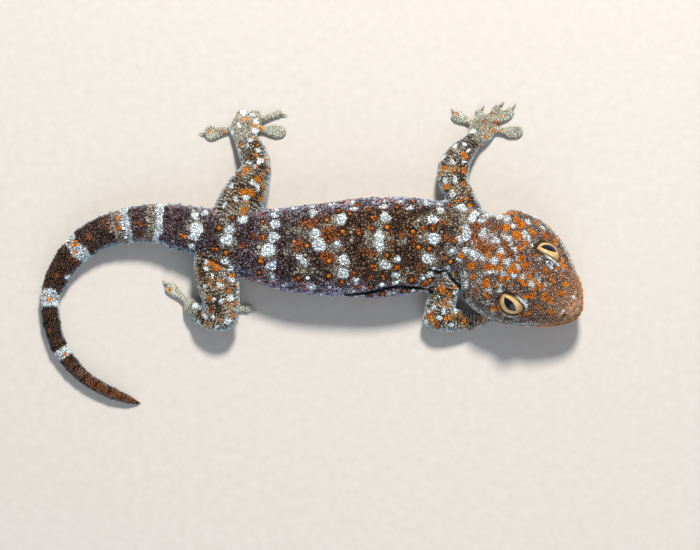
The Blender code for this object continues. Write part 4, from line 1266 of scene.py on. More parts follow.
class Markings:
    """The animal's markings, as a rule that gives each place on the skin its colour."""

    # Each colour's spots, and how much wider than in the photograph they are laid
    tables: tuple[tuple[Ink, tuple, float], ...] = (
        (Ink.CREAM, CREAM_SPOTS, 1.2), (Ink.DARK, DARK_SPOTS, 1.0), (Ink.PALE, PALE_SPOTS_AND_GLINTS, 1.0),
        (Ink.RUST, RUST_SPOTS, 1.1), (Ink.ORANGE, ORANGE_SPOTS, 1.2),
    )

    # The spots that the photograph doesn't show: seed, how many tries, where along the spine they start, how
    # high they lie, how far they keep from others, and half their width
    seed: int = 31
    tries: int = 150
    flank_start: float = 115.0
    flank_heights: tuple[float, float] = (3.0, 9.0)
    flank_gap: float = 3.4
    flank_radii: tuple[float, float] = (0.9, 1.5)

    def __init__(self, tree: BVHTree) -> None:
        """Sets the spots on the skin, those of the photograph and others where it doesn't reach.

        Args:
            tree: The skin's faces.
        """
        self.spots: list[Spot] = []
        # The folds whose lines are darkened with painted shade
        self.folds = [(fold, fold.line(tree)) for fold in FOLDS if fold.shade]
        for ink, table, swell in self.tables:
            for x, y, half in table:
                at = seen_on(tree, x, y)
                if at is not None:
                    self.spots.append(Spot(at, half * VIEW.pixel * swell, ink))
        self.lay_flanks(tree)

    def lay_flanks(self, tree: BVHTree) -> None:
        """Adds spots low on the flanks and cheeks, where the photograph doesn't look.

        Args:
            tree: The skin's faces.
        """
        draw = random.Random(self.seed)
        for _ in range(self.tries):
            place = draw.uniform(self.flank_start, SPINE_LINE.run[-1])
            side = draw.choice((-1, 1))
            height = draw.uniform(*self.flank_heights)
            row, left = SPINE_LINE.at(place)
            out = left * side
            hit = tree.ray_cast(Vector((*row[:2], height)) + Vector(out) * 40.0, Vector(-out))
            if hit[0] is None:
                continue
            at = np.array(hit[0])
            if min(np.linalg.norm(spot.at - at) for spot in self.spots) > self.flank_gap:
                ink = draw.choice((Ink.PALE, Ink.PALE, Ink.ORANGE, Ink.RUST))
                self.spots.append(Spot(at, draw.uniform(*self.flank_radii), ink))

    def share_of(self, points: ndarray, ink: Ink, soft: float) -> ndarray:
        """How fully each place lies in a marking of one colour.

        Args:
            points: Plan places, moved a little at random so that the edges are uneven.
            ink: The marking's colour.
            soft: How wide its edge is, as a share of its half width.

        Returns:
            From 0 outside to 1 inside.
        """
        best = np.full(len(points), 9.0)
        for spot in self.spots:
            if spot.ink is ink:
                near = np.abs(points - spot.at).max(axis=1) < spot.radius * 2.5
                far = np.linalg.norm(points[near] - spot.at, axis=1) / spot.radius
                best[near] = np.minimum(best[near], far)
        return 1.0 - smooth_step(1.0 - soft / 2, 1.0 + soft / 2, best)

    def trunk(self, sample: Sample) -> ndarray:
        """Brown at shoulders, purplish at hips, pale grains partly painted sheen, blue down the flanks.

        Args:
            sample: The places.

        Returns:
            Their linear colours.
        """
        rear = 1.0 - smooth_step(150.0, 195.0, sample.along + 9.0 * sample.coarse)
        ground = mix(COLOURS.shoulder, COLOURS.trunk, rear)
        grain = mix(COLOURS.shoulder_grain, COLOURS.trunk_grain, rear)
        found = mix(ground, grain, sample.grains(0.35, 0.95))
        edge = smooth_step(0.62, 0.98, sample.flank)
        found = mix(found, COLOURS.flank, edge * (0.2 + 0.8 * sample.grains(0.25, 0.75)))
        flush = smooth_step(0.55, 0.9, sample.flank) * smooth_step(0.12, 0.3, sample.coarse)
        found = mix(found, COLOURS.flush, flush * sample.grains(0.4, 0.6) * 0.6)
        _, _, off = nearest_of(LEG_WAYS, sample.points)
        outer = np.maximum(1.0 - rear, smooth_step(0.45, 0.85, sample.flank))
        return mix(found, self.leg(sample), 0.75 * outer * (1.0 - smooth_step(4.5, 9.5, off)))

    def head(self, sample: Sample) -> ndarray:
        """Brown with pale grains partly painted sheen, amber on the snout and pale blue along the jaws.

        Args:
            sample: The places.

        Returns:
            Their linear colours.
        """
        ahead, _, _ = HEAD.measure(sample.points)
        found = mix(COLOURS.head, COLOURS.rust, smooth_step(0.05, 0.35, sample.coarse) * 0.25)
        found = mix(found, COLOURS.head_grain, 0.1 * sample.coarse + 0.66 * sample.grains(0.52, 1.0))
        snout = smooth_step(7.0, 17.0, ahead)
        found = mix(found, COLOURS.snout, snout * (0.85 - 0.35 * sample.grains(0.6, 0.9)))
        front = smooth_step(0.4, 0.1, sample.normals[:, 2])
        found = mix(found, COLOURS.gold, snout * front * 0.7)
        edge = smooth_step(0.6, 0.3, sample.normals[:, 2])
        return mix(found, COLOURS.jaw, edge * (1.0 - snout) * (0.3 + 0.7 * sample.grains(0.2, 0.7)))

    def leg(self, sample: Sample) -> ndarray:
        """Wavy rows of pale and brown scales across each leg, blue along its lower edge.

        Args:
            sample: The places.

        Returns:
            Their linear colours.
        """
        _, run, _ = nearest_of(LEG_WAYS, sample.points)
        wave = np.sin((run + 0.9 * sample.coarse + 0.3 * sample.fine) * 2 * math.pi / 1.25)
        share = 0.30 + 0.42 * wave + 0.6 * sample.coarse + 0.5 * (sample.speck - 0.5)
        found = mix(COLOURS.leg, COLOURS.leg_pale, share)
        ochre = smooth_step(0.1, 0.35, ripple(sample.points, 3.4, 21.0)) * (0.5 - 0.4 * wave)
        found = mix(found, COLOURS.ochre, ochre)
        edge = smooth_step(0.84, 0.35, sample.normals[:, 2])
        return mix(found, COLOURS.leg_edge, edge * (0.45 + 0.5 * sample.grains(0.3, 0.8)))

    def foot(self, sample: Sample) -> ndarray:
        """Palms like the legs, and pale toes with brown rows.

        Args:
            sample: The places.

        Returns:
            Their linear colours.
        """
        _, run, _ = nearest_of(TOE_WAYS, sample.points)
        wave = np.sin((run + 0.4 * sample.coarse) * 2 * math.pi / 1.2)
        share = 0.26 - 0.26 * wave + 0.4 * (sample.speck - 0.5) + 0.3 * sample.coarse
        toes = mix(COLOURS.toe, COLOURS.toe_dark, share)
        palm = 0.55 * (1.0 - smooth_step(3.0, 6.5, run))
        return mix(toes, self.leg(sample), palm)

    def tail(self, sample: Sample) -> ndarray:
        """Very dark brown with pale bands at the places that the photograph shows.

        Args:
            sample: The places.

        Returns:
            Their linear colours.
        """
        rear = smooth_step(70.0, 120.0, sample.along)
        # Some brown grains here and there, partly painted sheen
        found = mix(COLOURS.tail, COLOURS.tail_grain, 0.22 * sample.grains(0.45, 0.9))
        found = mix(found, self.trunk(sample), rear * 0.7)
        edge = smooth_step(0.55, 0.25, sample.normals[:, 2]) * np.where(sample.side > 0.0, 0.5, 1.0)
        found = mix(found, COLOURS.tail_edge, edge * (0.4 + 0.5 * sample.grains(0.3, 0.8)))
        tip = 1.0 - smooth_step(20.0, 32.0, sample.along)
        middle = 1.0 - smooth_step(0.35, 0.75, sample.flank)
        found = mix(found, COLOURS.tip_edge, tip * (0.45 + 0.4 * (sample.speck - 0.5)))
        found = mix(found, COLOURS.tip, tip * middle * (0.6 + 0.4 * sample.grains(0.3, 0.6)))
        ruffled = sample.along + 1.5 * sample.coarse + 0.5 * sample.fine
        for place, half, name in TAIL_BANDS:
            band = 1.0 - smooth_step(half * 0.75, half * 1.2, np.abs(ruffled - place))
            found = mix(found, COLOURS.of(Ink[name]), band * (0.42 + 0.5 * sample.grains(0.25, 0.6)))
            behind = 1.0 - smooth_step(0.5, 1.6, np.abs(ruffled - place + half + 1.4))
            found = mix(found, COLOURS.rust, behind * smooth_step(0.0, 0.25, sample.coarse) * 0.35)
        return found

    def colour(self, points: ndarray, normals: ndarray, region: ndarray, seed: int) -> ndarray:
        """The colour of each place.

        Args:
            points: Plan places.
            normals: The skin's outward direction there.
            region: The number of the region that each lies in.
            seed: The seed of the scatter from one scale to the next.

        Returns:
            Linear red, green and blue, one row for each place.
        """
        sample = Sample.of(points, normals, region, seed)
        found = self.spotted(sample, self.ground(sample))
        # Painted shade darkens the skin along each dark fold
        for fold, marks in self.folds:
            crease = 1.0 - smooth_step(0.3, 1.0, fold.far(points, marks))
            found = found * (1.0 - fold.shade * crease)[:, None]
        return found * (0.7 + 0.6 * np.random.default_rng(seed + 1).random(len(points)))[:, None]

    def ground(self, sample: Sample) -> ndarray:
        """The colour of each place by its region, under the spots.

        Args:
            sample: The places.

        Returns:
            Their linear colours.
        """
        points, normals, region = sample.points, sample.normals, sample.region
        found = np.zeros((len(points), 3))
        rules = {
            Region.HEAD: self.head, Region.NECK: self.head, Region.TRUNK: self.trunk,
            Region.TAIL: self.tail, Region.LEG: self.leg, Region.FOOT: self.foot,
        }
        for part, rule in rules.items():
            chosen = region == part
            if chosen.any():
                found[chosen] = rule(sample)[chosen]
        behind = (region == Region.NECK) | (region == Region.TRUNK)
        if behind.any():
            neck = smooth_step(-31.0, -22.0, HEAD.measure(points)[0])
            found[behind] = mix(self.trunk(sample), self.head(sample), neck * 0.8)[behind]
        under = smooth_step(0.1, -0.45, normals[:, 2]) * (region != Region.FOOT)
        return mix(found, COLOURS.belly, under * (0.85 + 0.2 * (sample.speck - 0.5)))

    def spotted(self, sample: Sample, found: ndarray) -> ndarray:
        """Lays the spots on the ground, one colour after the other.

        Args:
            sample: The places.
            found: Their colours without the spots.

        Returns:
            Their linear colours.
        """
        points, speck, region = sample.points, sample.speck, sample.region
        uneven = points + np.column_stack([
            0.5 * ripple(points, 1.4, 30.0 + 9.0 * i) + 0.9 * ripple(points, 3.6, 70.0 + 9.0 * i)
            for i in range(3)
        ])
        cream = self.share_of(uneven, Ink.CREAM, 0.9)
        light = mix(COLOURS.cream, COLOURS.pale, 0.25 * (region == Region.HEAD))
        found = mix(found, light, cream * (0.25 + 0.75 * sample.grains(0.2, 0.6)))
        dark = self.share_of(uneven, Ink.DARK, 1.0)
        found = mix(found, COLOURS.dark, dark * (0.35 + 0.4 * speck))
        pale = self.share_of(uneven, Ink.PALE, 0.35) * np.where(region == Region.HEAD, 0.66, 1.0)
        found = mix(found, COLOURS.pale, pale * (0.8 + 0.4 * sample.grains(0.1, 0.5)))
        found = mix(found, COLOURS.dark, self.ring(points) * (region == Region.TRUNK) * 0.7)
        rust = self.share_of(uneven, Ink.RUST, 0.6)
        found = mix(found, COLOURS.rust, rust * (0.4 + 0.75 * speck))
        orange = self.share_of(uneven, Ink.ORANGE, 0.3)
        bright = mix(COLOURS.orange, COLOURS.amber, sample.grains(0.5, 0.9))
        limb = np.isin(region, (Region.LEG, Region.FOOT))
        bright = mix(bright, COLOURS.ochre, 0.35 * limb)
        bright = mix(bright, COLOURS.rust, 0.55 * (region == Region.TRUNK))
        return mix(found, bright, orange * (0.75 + 0.3 * speck))

    def ring(self, points: ndarray) -> ndarray:
        """The dark ring round each orange spot of the trunk.

        Args:
            points: Plan places.

        Returns:
            From 0 outside to 1 in the ring.
        """
        found = np.zeros(len(points))
        for spot in self.spots:
            if spot.ink is Ink.ORANGE:
                near = np.abs(points - spot.at).max(axis=1) < spot.radius + 2.0
                far = np.linalg.norm(points[near] - spot.at, axis=1) - spot.radius
                found[near] = np.maximum(found[near], 1.0 - smooth_step(0.3, 1.1, far))
        return found


class Lie:
    """The way that scales point: to the tail on head and trunk, and to the tips on legs and toes."""

    def at(self, points: ndarray, normals: ndarray, region: ndarray) -> ndarray:
        """The lie at each place, flat on the skin.

        Args:
            points: Plan places.
            normals: The skin's outward directions.
            region: The number of each place's region.

        Returns:
            Unit directions.
        """
        step, _, _ = SPINE_LINE.nearest(points)
        way = -np.column_stack([SPINE_LINE.along[step], np.zeros(len(points))])
        way[region == Region.HEAD] = -HEAD.ahead
        for number, lines in ((Region.LEG, LEG_WAYS), (Region.FOOT, TOE_WAYS)):
            part = region == number
            if part.any():
                way[part, :2] = nearest_of(lines, points[part])[0]
        return laid(way, normals)


@dataclass(frozen=True)
class Roots:
    """Where scales grow: places, outward directions, places on the unwrap, regions and lie."""

    points: ndarray
    normals: ndarray
    flat: ndarray
    region: ndarray
    lie: ndarray

    def take(self, chosen: ndarray) -> "Roots":
        """Some of the roots."""
        columns = (self.points, self.normals, self.flat, self.region, self.lie)
        return Roots(*(column[chosen] for column in columns))


@dataclass(frozen=True)
class ScaleForm:
    """One kind of scale, modelled once at a width of one: rings of radius and height, then a tip."""

    sides: int
    sunk: float
    rings: tuple[tuple[float, float], ...]
    tip: float
    lean: float = 0.0
    squareness: float = 0.0
    patch: float = 0.003

    def model(self) -> Mesh:
        """Models the scale from a circle that is drawn up ring by ring and closed at its tip.

        Returns:
            The scale's mesh, with its hind end on +X.
        """
        obj = draw_up(self.sides, ((0.5, -self.sunk), *self.rings, (0.0, self.tip)))
        mesh = obj.data
        for vertex in mesh.vertices:
            far = math.hypot(vertex.co.x, vertex.co.y)
            if self.squareness and far > 0.0:
                turn = math.atan2(vertex.co.y, vertex.co.x)
                reach = (abs(math.cos(turn)) ** 4 + abs(math.sin(turn)) ** 4) ** -0.25
                vertex.co.xy *= 1.0 + self.squareness * (reach - 1.0)
            vertex.co.x += self.lean * (vertex.co.z + self.sunk)
        bpy.data.objects.remove(obj)
        return mesh


GRANULE = ScaleForm(sides=7, sunk=0.6, rings=((0.45, 0.36), (0.27, 0.84)), tip=1.0)
KNOB = ScaleForm(sides=10, sunk=0.4, rings=((0.46, 0.35), (0.3, 0.8)), tip=1.0)
THORN = ScaleForm(sides=8, sunk=0.4, rings=((0.42, 0.4), (0.24, 0.85)), tip=1.0, lean=0.28)
PLATE = ScaleForm(sides=16, sunk=0.5, rings=((0.5, 0.3), (0.42, 0.85)), tip=1.0, squareness=0.8)


def strew(
    name: str, form: ScaleForm, roots: Roots, sizes: ndarray, tilt: float, colours: ndarray
) -> Object:
    """Joins many copies of one scale in one mesh.

    Args:
        name: The piece's name.
        form: The kind of scale.
        roots: Where the scales grow.
        sizes: Length along the lie, width and height of each, in millimetres.
        tilt: How far each scale's hind edge is lifted, in degrees.
        colours: The linear colour of each scale.

    Returns:
        The piece, with its colours and painted shade in the attribute tone and its patches in the map
        OFBake.
    """
    template = form.model()
    count, corner = len(roots.points), np.array([vertex.co for vertex in template.vertices])
    turn = math.radians(tilt)
    ahead = roots.lie * math.cos(turn) + roots.normals * math.sin(turn)
    up = roots.normals * math.cos(turn) - roots.lie * math.sin(turn)
    across = np.cross(up, ahead)
    place = (
        roots.points[:, None]
        + ahead[:, None] * (corner[None, :, 0, None] * sizes[:, None, 0, None])
        + across[:, None] * (corner[None, :, 1, None] * sizes[:, None, 1, None])
        + up[:, None] * (corner[None, :, 2, None] * sizes[:, None, 2, None])
    )
    place = np.clip(place, LOW, HIGH)
    loops = np.array([index for face in template.polygons for index in face.vertices])
    lengths = np.array([len(face.vertices) for face in template.polygons])
    mesh = bpy.data.meshes.new(name)
    mesh.vertices.add(count * len(corner))
    mesh.vertices.foreach_set("co", ((place + SHIFT) * MM).astype(np.float32).ravel())
    mesh.loops.add(count * len(loops))
    starts = np.arange(count)[:, None]
    mesh.loops.foreach_set("vertex_index", (loops[None] + starts * len(corner)).ravel().astype(np.int32))
    mesh.polygons.add(count * len(lengths))
    first = np.concatenate([[0], np.cumsum(lengths)[:-1]])
    mesh.polygons.foreach_set("loop_start", (first[None] + starts * len(loops)).ravel().astype(np.int32))
    mesh.update(calc_edges=True)
    mesh.shade_smooth()
    patch = mesh.uv_layers.new(name=UNWRAP)
    spread = roots.flat[:, None] + corner[None, loops, :2] * form.patch
    patch.data.foreach_set("uv", spread.astype(np.float32).ravel())
    # Painted shade: each scale darkens towards its foot, in the gaps between scales, and a bright one less
    # so
    bright = smooth_step(0.15, 0.45, colours.max(axis=1))
    shade = np.clip(0.1 + 1.1 * corner[:, 2], 0.08, 1.16)[None] ** (1.0 - 0.66 * bright)[:, None]
    paint(mesh, (colours[:, None] * shade[:, :, None]).reshape(-1, 3))
    bpy.data.meshes.remove(template)
    obj = bpy.data.objects.new(name, mesh)
    bpy.context.scene.collection.objects.link(obj)
    return obj


@dataclass(frozen=True)
class Zone:
    """A field of scales of one size."""

    name: str
    regions: tuple[Region, ...]
    spacing: float
    height: float
    length: float = 1.0
    tilt: float = 6.0
    under: bool = False
    order: float = 0.25
    cover: float = 1.1


ZONES = (
    Zone("head", (Region.HEAD,), 0.72, 0.26),
    Zone("throat", (Region.HEAD, Region.NECK), 0.95, 0.18, under=True),
    Zone("trunk", (Region.TRUNK, Region.NECK), 0.78, 0.28, tilt=8.0),
    Zone("belly", (Region.TRUNK,), 1.4, 0.2, 1.15, 9.0, under=True, order=0.9),
    Zone("tail", (Region.TAIL,), 0.74, 0.22, 1.1, 9.0, order=0.8),
    Zone("tail_under", (Region.TAIL,), 1.4, 0.2, 1.1, 9.0, under=True, order=0.9),
    Zone("leg", (Region.LEG,), 0.67, 0.24, 1.1, 9.0, order=0.6),
    Zone("foot", (Region.FOOT,), 0.62, 0.16, 0.9, 7.0, order=0.8, cover=1.35),
)


class Sower:
    """Finds evenly spread roots on the skin."""

    # Shares of a zone's spacing: the least at first, and the least to scales of other zones
    first_gap: float = 0.86
    other_gap: float = 0.5
    pushes: int = 2
    # Round each eye, how far and to which share of the lids no scales are sown
    bare: tuple[float, float] = (6.9, 1.12)

    def __init__(self, skin: Object, region: ndarray) -> None:
        """Prepares the scatter.

        Args:
            skin: The finished skin.
            region: The region number of each of its vertices.
        """
        self.skin = skin
        self.region = region
        self.points = points_of(skin.data)
        self.normals = normals_of(skin.data)
        self.tree = tree_of(skin.data)
        self.lie = Lie()
        self.group, self.spread = self.nodes()

    def nodes(self) -> tuple[NodeTree, Node]:
        """The node tree that scatters points over the faces marked in the attribute zone.

        Returns:
            The tree, and its node that spreads the points.
        """
        tree = bpy.data.node_groups.new("sow", "GeometryNodeTree")
        tree.interface.new_socket("Geometry", in_out="INPUT", socket_type="NodeSocketGeometry")
        tree.interface.new_socket("Geometry", in_out="OUTPUT", socket_type="NodeSocketGeometry")
        start, end = tree.nodes.new("NodeGroupInput"), tree.nodes.new("NodeGroupOutput")
        zone = tree.nodes.new("GeometryNodeInputNamedAttribute")
        zone.data_type = "FLOAT"
        zone.inputs["Name"].default_value = "zone"
        over = tree.nodes.new("FunctionNodeCompare")
        over.operation = "GREATER_THAN"
        over.inputs[1].default_value = 0.5
        spread = tree.nodes.new("GeometryNodeDistributePointsOnFaces")
        spread.distribute_method = "POISSON"
        keep = tree.nodes.new("GeometryNodeStoreNamedAttribute")
        keep.data_type = "FLOAT_VECTOR"
        keep.inputs["Name"].default_value = "outward"
        turn = tree.nodes.new("GeometryNodePointsToVertices")
        tree.links.new(zone.outputs["Attribute"], over.inputs[0])
        tree.links.new(start.outputs[0], spread.inputs["Mesh"])
        tree.links.new(over.outputs[0], spread.inputs["Selection"])
        tree.links.new(spread.outputs["Points"], keep.inputs["Geometry"])
        tree.links.new(spread.outputs["Normal"], keep.inputs["Value"])
        tree.links.new(keep.outputs[0], turn.inputs[0])
        tree.links.new(turn.outputs[0], end.inputs[0])
        return tree, spread

    def scatter(self, mask: ndarray, spacing: float, seed: int) -> tuple[ndarray, ndarray, ndarray]:
        """Scatters points where the mask is over a half.

        Args:
            mask: One value for each vertex of the skin.
            spacing: The least distance between two points, in millimetres.
            seed: The seed of the scatter.

        Returns:
            Plan places, outward directions, and places on the unwrap.
        """
        mesh = self.skin.data
        layer = mesh.attributes.get("zone") or mesh.attributes.new("zone", "FLOAT", "POINT")
        layer.data.foreach_set("value", mask.astype(np.float32))
        self.spread.inputs["Distance Min"].default_value = spacing * MM
        self.spread.inputs["Density Max"].default_value = 9.0 / (spacing * MM) ** 2
        self.spread.inputs["Seed"].default_value = seed
        sown = bpy.data.objects.new("sown", mesh)
        bpy.context.scene.collection.objects.link(sown)
        sown.modifiers.new("sow", "NODES").node_group = self.group
        graph = bpy.context.evaluated_depsgraph_get()
        found = sown.evaluated_get(graph).to_mesh()
        points = points_of(found)
        outward = read(found.attributes["outward"].data, "vector")
        flat = read(found.attributes[UNWRAP].data, "vector", 2)
        bpy.data.objects.remove(sown)
        return points, outward, flat

    def settle(self, points: ndarray, normals: ndarray, spacing: float, turns: int) -> None:
        """Pushes crowded points apart along the skin, so that they stand more evenly.

        Args:
            points: Plan places, which are moved.
            normals: Their outward directions, which are renewed.
            spacing: The distance below which two points crowd each other.
            turns: How often they are pushed.
        """
        for _ in range(turns):
            tree = search_tree(points)
            moves = np.zeros_like(points)
            for number, point in enumerate(points.tolist()):
                for _, index, far in tree.find_range(point, spacing):
                    if index != number and far > 1e-6:
                        push = 0.4 * (spacing - far) / far
                        moves[number] += push * (points[number] - points[index])
            for number, point in enumerate((points + moves).tolist()):
                place, normal, _, _ = self.tree.find_nearest(point)
                points[number] = place
                normals[number] = normal

    def set_down(self, places: ndarray, lie: ndarray | None = None) -> Roots:
        """Turns places near the skin into roots on it.

        Args:
            places: Plan places.
            lie: The way that each scale points, or None for the way the skin's own scales do.

        Returns:
            The roots.
        """
        mesh = self.skin.data
        ends = [self.tree.find_nearest(Vector(place)) for place in places]
        points, normals = np.array([end[0] for end in ends]), np.array([end[1] for end in ends])
        loops = [mesh.polygons[end[2]].loop_start for end in ends]
        layer = mesh.uv_layers[UNWRAP].data
        flat = np.array([layer[loop].uv for loop in loops])
        region = np.array([self.region[mesh.loops[loop].vertex_index] for loop in loops])
        if lie is None:
            lie = self.lie.at(points, normals, region)
        return Roots(points, normals, flat, region, laid(lie, normals))

    def mask_of(self, zone: Zone) -> ndarray:
        """Which vertices of the skin a zone covers.

        Args:
            zone: The zone.

        Returns:
            One inside it and nought outside.
        """
        inside = np.isin(self.region, zone.regions)
        down = smooth_step(-0.2, -0.4, self.normals[:, 2])
        if any(other.under and set(zone.regions) & set(other.regions) for other in ZONES):
            inside = inside & ((down > 0.5) == zone.under)
        for eye in EYES.values():
            far, share = eye.measure(self.points)
            inside = inside & ~((far < self.bare[0]) & (share < self.bare[1]))
        return inside.astype(float)

    def roots(self, zone: Zone, seed: int, taken: list[ndarray]) -> Roots:
        """The roots of one zone, clear of those of the zones before it.

        Args:
            zone: The zone.
            seed: The seed of its scatter.
            taken: The places that other scales take up.

        Returns:
            The roots.
        """
        points, normals, flat = self.scatter(self.mask_of(zone), zone.spacing * self.first_gap, seed)
        if len(points):
            self.settle(points, normals, zone.spacing, self.pushes)
        others = np.concatenate(taken) if taken else np.zeros((0, 3))
        free = clear_of(points, others, zone.spacing * self.other_gap)
        region = np.full(len(points), zone.regions[0])
        if len(zone.regions) > 1:
            near = search_tree(self.points)
            region = np.array([self.region[near.find(point)[1]] for point in points.tolist()])
        lie = self.lie.at(points, normals, region)
        return Roots(points, normals, flat, region, lie).take(free)


def clear_of(points: ndarray, others: ndarray, gap: float) -> ndarray:
    """Which points lie at least a gap away from all the others.

    Args:
        points: Plan places.
        others: The others.
        gap: The gap, in millimetres.

    Returns:
        True for each that does.
    """
    if not len(others):
        return np.ones(len(points), bool)
    tree = search_tree(others)
    return np.array([tree.find(point)[2] >= gap for point in points.tolist()], bool)


def turned(lie: ndarray, normals: ndarray, angles: ndarray) -> ndarray:
    """Directions turned about the skin's outward direction, by angles in radians."""
    side = np.cross(normals, lie)
    return lie * np.cos(angles)[:, None] + side * np.sin(angles)[:, None]


@dataclass
class Coat:
    """All the small scales, in pieces by zone."""

    sower: Sower
    markings: Markings
    most_scales: int = 4700
    # The first seeds of the zones' scatter, sizes and colours
    sow_seed: int = 11
    size_seed: int = 100
    tone_seed: int = 200
    # How much scales differ in width and in height
    widths: tuple[float, float] = (0.86, 1.12)
    heights: tuple[float, float] = (0.8, 1.2)

    def build(self, taken: list[ndarray]) -> list[Object]:
        """Grows the scales of every zone.

        Args:
            taken: Places already taken by larger scales.

        Returns:
            The pieces.
        """
        pieces = []
        for number, zone in enumerate(ZONES):
            roots = self.sower.roots(zone, self.sow_seed + number, taken)
            taken.append(roots.points)
            draw = np.random.default_rng(self.size_seed + number)
            count = len(roots.points)
            swing = (1.0 - zone.order) * math.pi * (draw.random(count) - 0.5)
            lie = turned(roots.lie, roots.normals, swing)
            roots = replace(roots, lie=lie)
            across = zone.cover * zone.spacing * draw.uniform(*self.widths, count)
            tall = zone.height * draw.uniform(*self.heights, count)
            sizes = np.column_stack([across * zone.length, across, tall])
            seed = self.tone_seed + number
            colours = self.markings.colour(roots.points, roots.normals, roots.region, seed)
            parts = math.ceil(count / self.most_scales)
            rank = np.argsort(np.argsort(roots.points @ np.array((1.0, 0.2, 0.0)))) * parts // max(count, 1)
            for part in range(parts):
                chosen = rank == part
                name = f"scales_{zone.name}" + (f"_{part + 1}" if parts > 1 else "")
                piece = strew(name, GRANULE, roots.take(chosen), sizes[chosen], zone.tilt, colours[chosen])
                pieces.append(piece)
                place_piece(piece)
        return pieces


@dataclass
class Knobs:
    """The larger raised scales of trunk, neck and tail, and the plates of the snout."""

    sower: Sower
    markings: Markings
    # Each field: the distance from row to row, the least gap, the scales' size and how far they tilt
    row_step: float = 4.3
    side_step: float = 4.1
    knob_gap: float = 2.9
    knob_size: tuple[float, float, float] = (1.75, 1.6, 0.48)
    knob_tilt: float = 8.0
    whorl_step: float = 5.1
    whorl_turns: tuple[float, ...] = (-110.0, -50.0, -17.0, 17.0, 50.0, 110.0)
    whorl_size: tuple[float, float, float] = (1.8, 1.3, 0.55)
    whorl_tilt: float = 12.0
    tooth_step: float = 3.9
    tooth_turn: float = 1.45
    tooth_size: tuple[float, float, float] = (2.1, 1.3, 0.5)
    tooth_tilt: float = 20.0
    tail_gap: float = 1.2
    # How far along the spine the whorls reach, and where the rows of the trunk begin
    tail_length: float = 150.0
    rows_start: float = 74.0
    # Each plate of the snout: how far ahead, to the left, and how wide
    plates: tuple[tuple[float, float, float], ...] = (
        (21.6, 0.0, 2.3), (20.9, 2.4, 2.2), (20.9, -2.4, 2.2), (19.3, 3.0, 1.5), (19.3, -3.0, 1.5),
        (19.5, 1.0, 1.7), (19.5, -1.0, 1.7), (17.3, 5.0, 1.2), (17.3, -5.0, 1.2), (17.5, 3.2, 1.2),
        (17.5, -3.2, 1.2), (19.6, 4.8, 1.3), (19.6, -4.8, 1.3), (17.9, 1.6, 1.1), (17.9, 0.0, 1.1),
        (17.9, -1.6, 1.1),
    )
    taken: list[ndarray] = field(default_factory=list)

    def settle_on(self, places: Iterable[ndarray], gap: float) -> Roots:
        """Sets places down on the skin and leaves out those that crowd one another.

        Args:
            places: Plan places near the skin, the most important first.
            gap: The least distance between two, in millimetres.

        Returns:
            The roots.
        """
        kept: list[Vector] = []
        for place in places:
            at = self.sower.tree.find_nearest(Vector(place))[0]
            if all((at - other).length >= gap for other in kept):
                kept.append(at)
        return self.sower.set_down(np.array(kept))

    def ring_places(self, place: float, turns: Iterable[float]) -> list[ndarray]:
        """Places round the body at one place along the spine, at angles from straight up.

        Args:
            place: How far along the spine, in millimetres.
            turns: The angles, in radians.

        Returns:
            The places on the skin.
        """
        row, left = SPINE_LINE.at(place)
        middle = np.array((row[0], row[1], row[3] * 0.45))
        found = []
        for turn in turns:
            out = left * math.sin(turn) + np.array((0.0, 0.0, math.cos(turn)))
            hit = self.sower.tree.ray_cast(Vector(middle + out * 60.0), Vector(-out))
            if hit[0] is not None:
                found.append(np.array(hit[0]))
        return found

    def rows(self) -> list[ndarray]:
        """The staggered rows of the trunk.

        Returns:
            Places on the skin.
        """
        found: list[ndarray] = []
        end = SPINE_LINE.run[-1] - 4.0
        for number in range(int((end - self.rows_start) / self.row_step)):
            place = self.rows_start + number * self.row_step
            count = max(2, round(2.5 * SPINE_LINE.at(place)[0][2] / self.side_step))
            shift = 0.5 * (number % 2)
            turns = [1.45 * ((i + shift) / count * 2.0 - 1.0) for i in range(count + 1)]
            found += self.ring_places(place, [turn for turn in turns if abs(turn) < 1.6])
        return found

    def trunk(self) -> Object:
        """The raised scales of trunk and neck, in the markings' own colours.

        Returns:
            The piece.
        """
        marked = [spot.at for spot in self.markings.spots if spot.ink in (Ink.ORANGE, Ink.PALE)]
        roots = self.settle_on(marked + self.rows(), self.knob_gap)
        ahead = HEAD.measure(roots.points)[0]
        body = np.isin(roots.region, (Region.TRUNK, Region.NECK)) & (ahead < -25.0)
        roots = roots.take(body & (roots.normals[:, 2] > -0.3))
        return self.dress("knobs_trunk", KNOB, roots, self.knob_size, self.knob_tilt, 0.62)

    def on_tail(self, step: float, turns: Sequence[float]) -> Roots:
        """Roots round the tail, ring by ring a step apart, at angles from straight up.

        Args:
            step: How far apart the rings are, in millimetres.
            turns: The angles, in radians.

        Returns:
            The roots.
        """
        found: list[ndarray] = []
        for number in range(1, int(self.tail_length / step)):
            found += self.ring_places(number * step + 2.0, turns)
        roots = self.settle_on(found, self.tail_gap)
        return roots.take(roots.region == Region.TAIL)

    def whorls(self) -> Object:
        """The rings of pointed scales round the tail, at the hind edge of each whorl."""
        roots = self.on_tail(self.whorl_step, [math.radians(turn) for turn in self.whorl_turns])
        return self.dress("knobs_tail", THORN, roots, self.whorl_size, self.whorl_tilt, 0.9)

    def teeth(self) -> Object:
        """The lifted scales that stand out like teeth along both edges of the tail."""
        roots = self.on_tail(self.tooth_step, (-self.tooth_turn, self.tooth_turn))
        return self.dress("teeth_tail", THORN, roots, self.tooth_size, self.tooth_tilt, 0.9, 0.75)

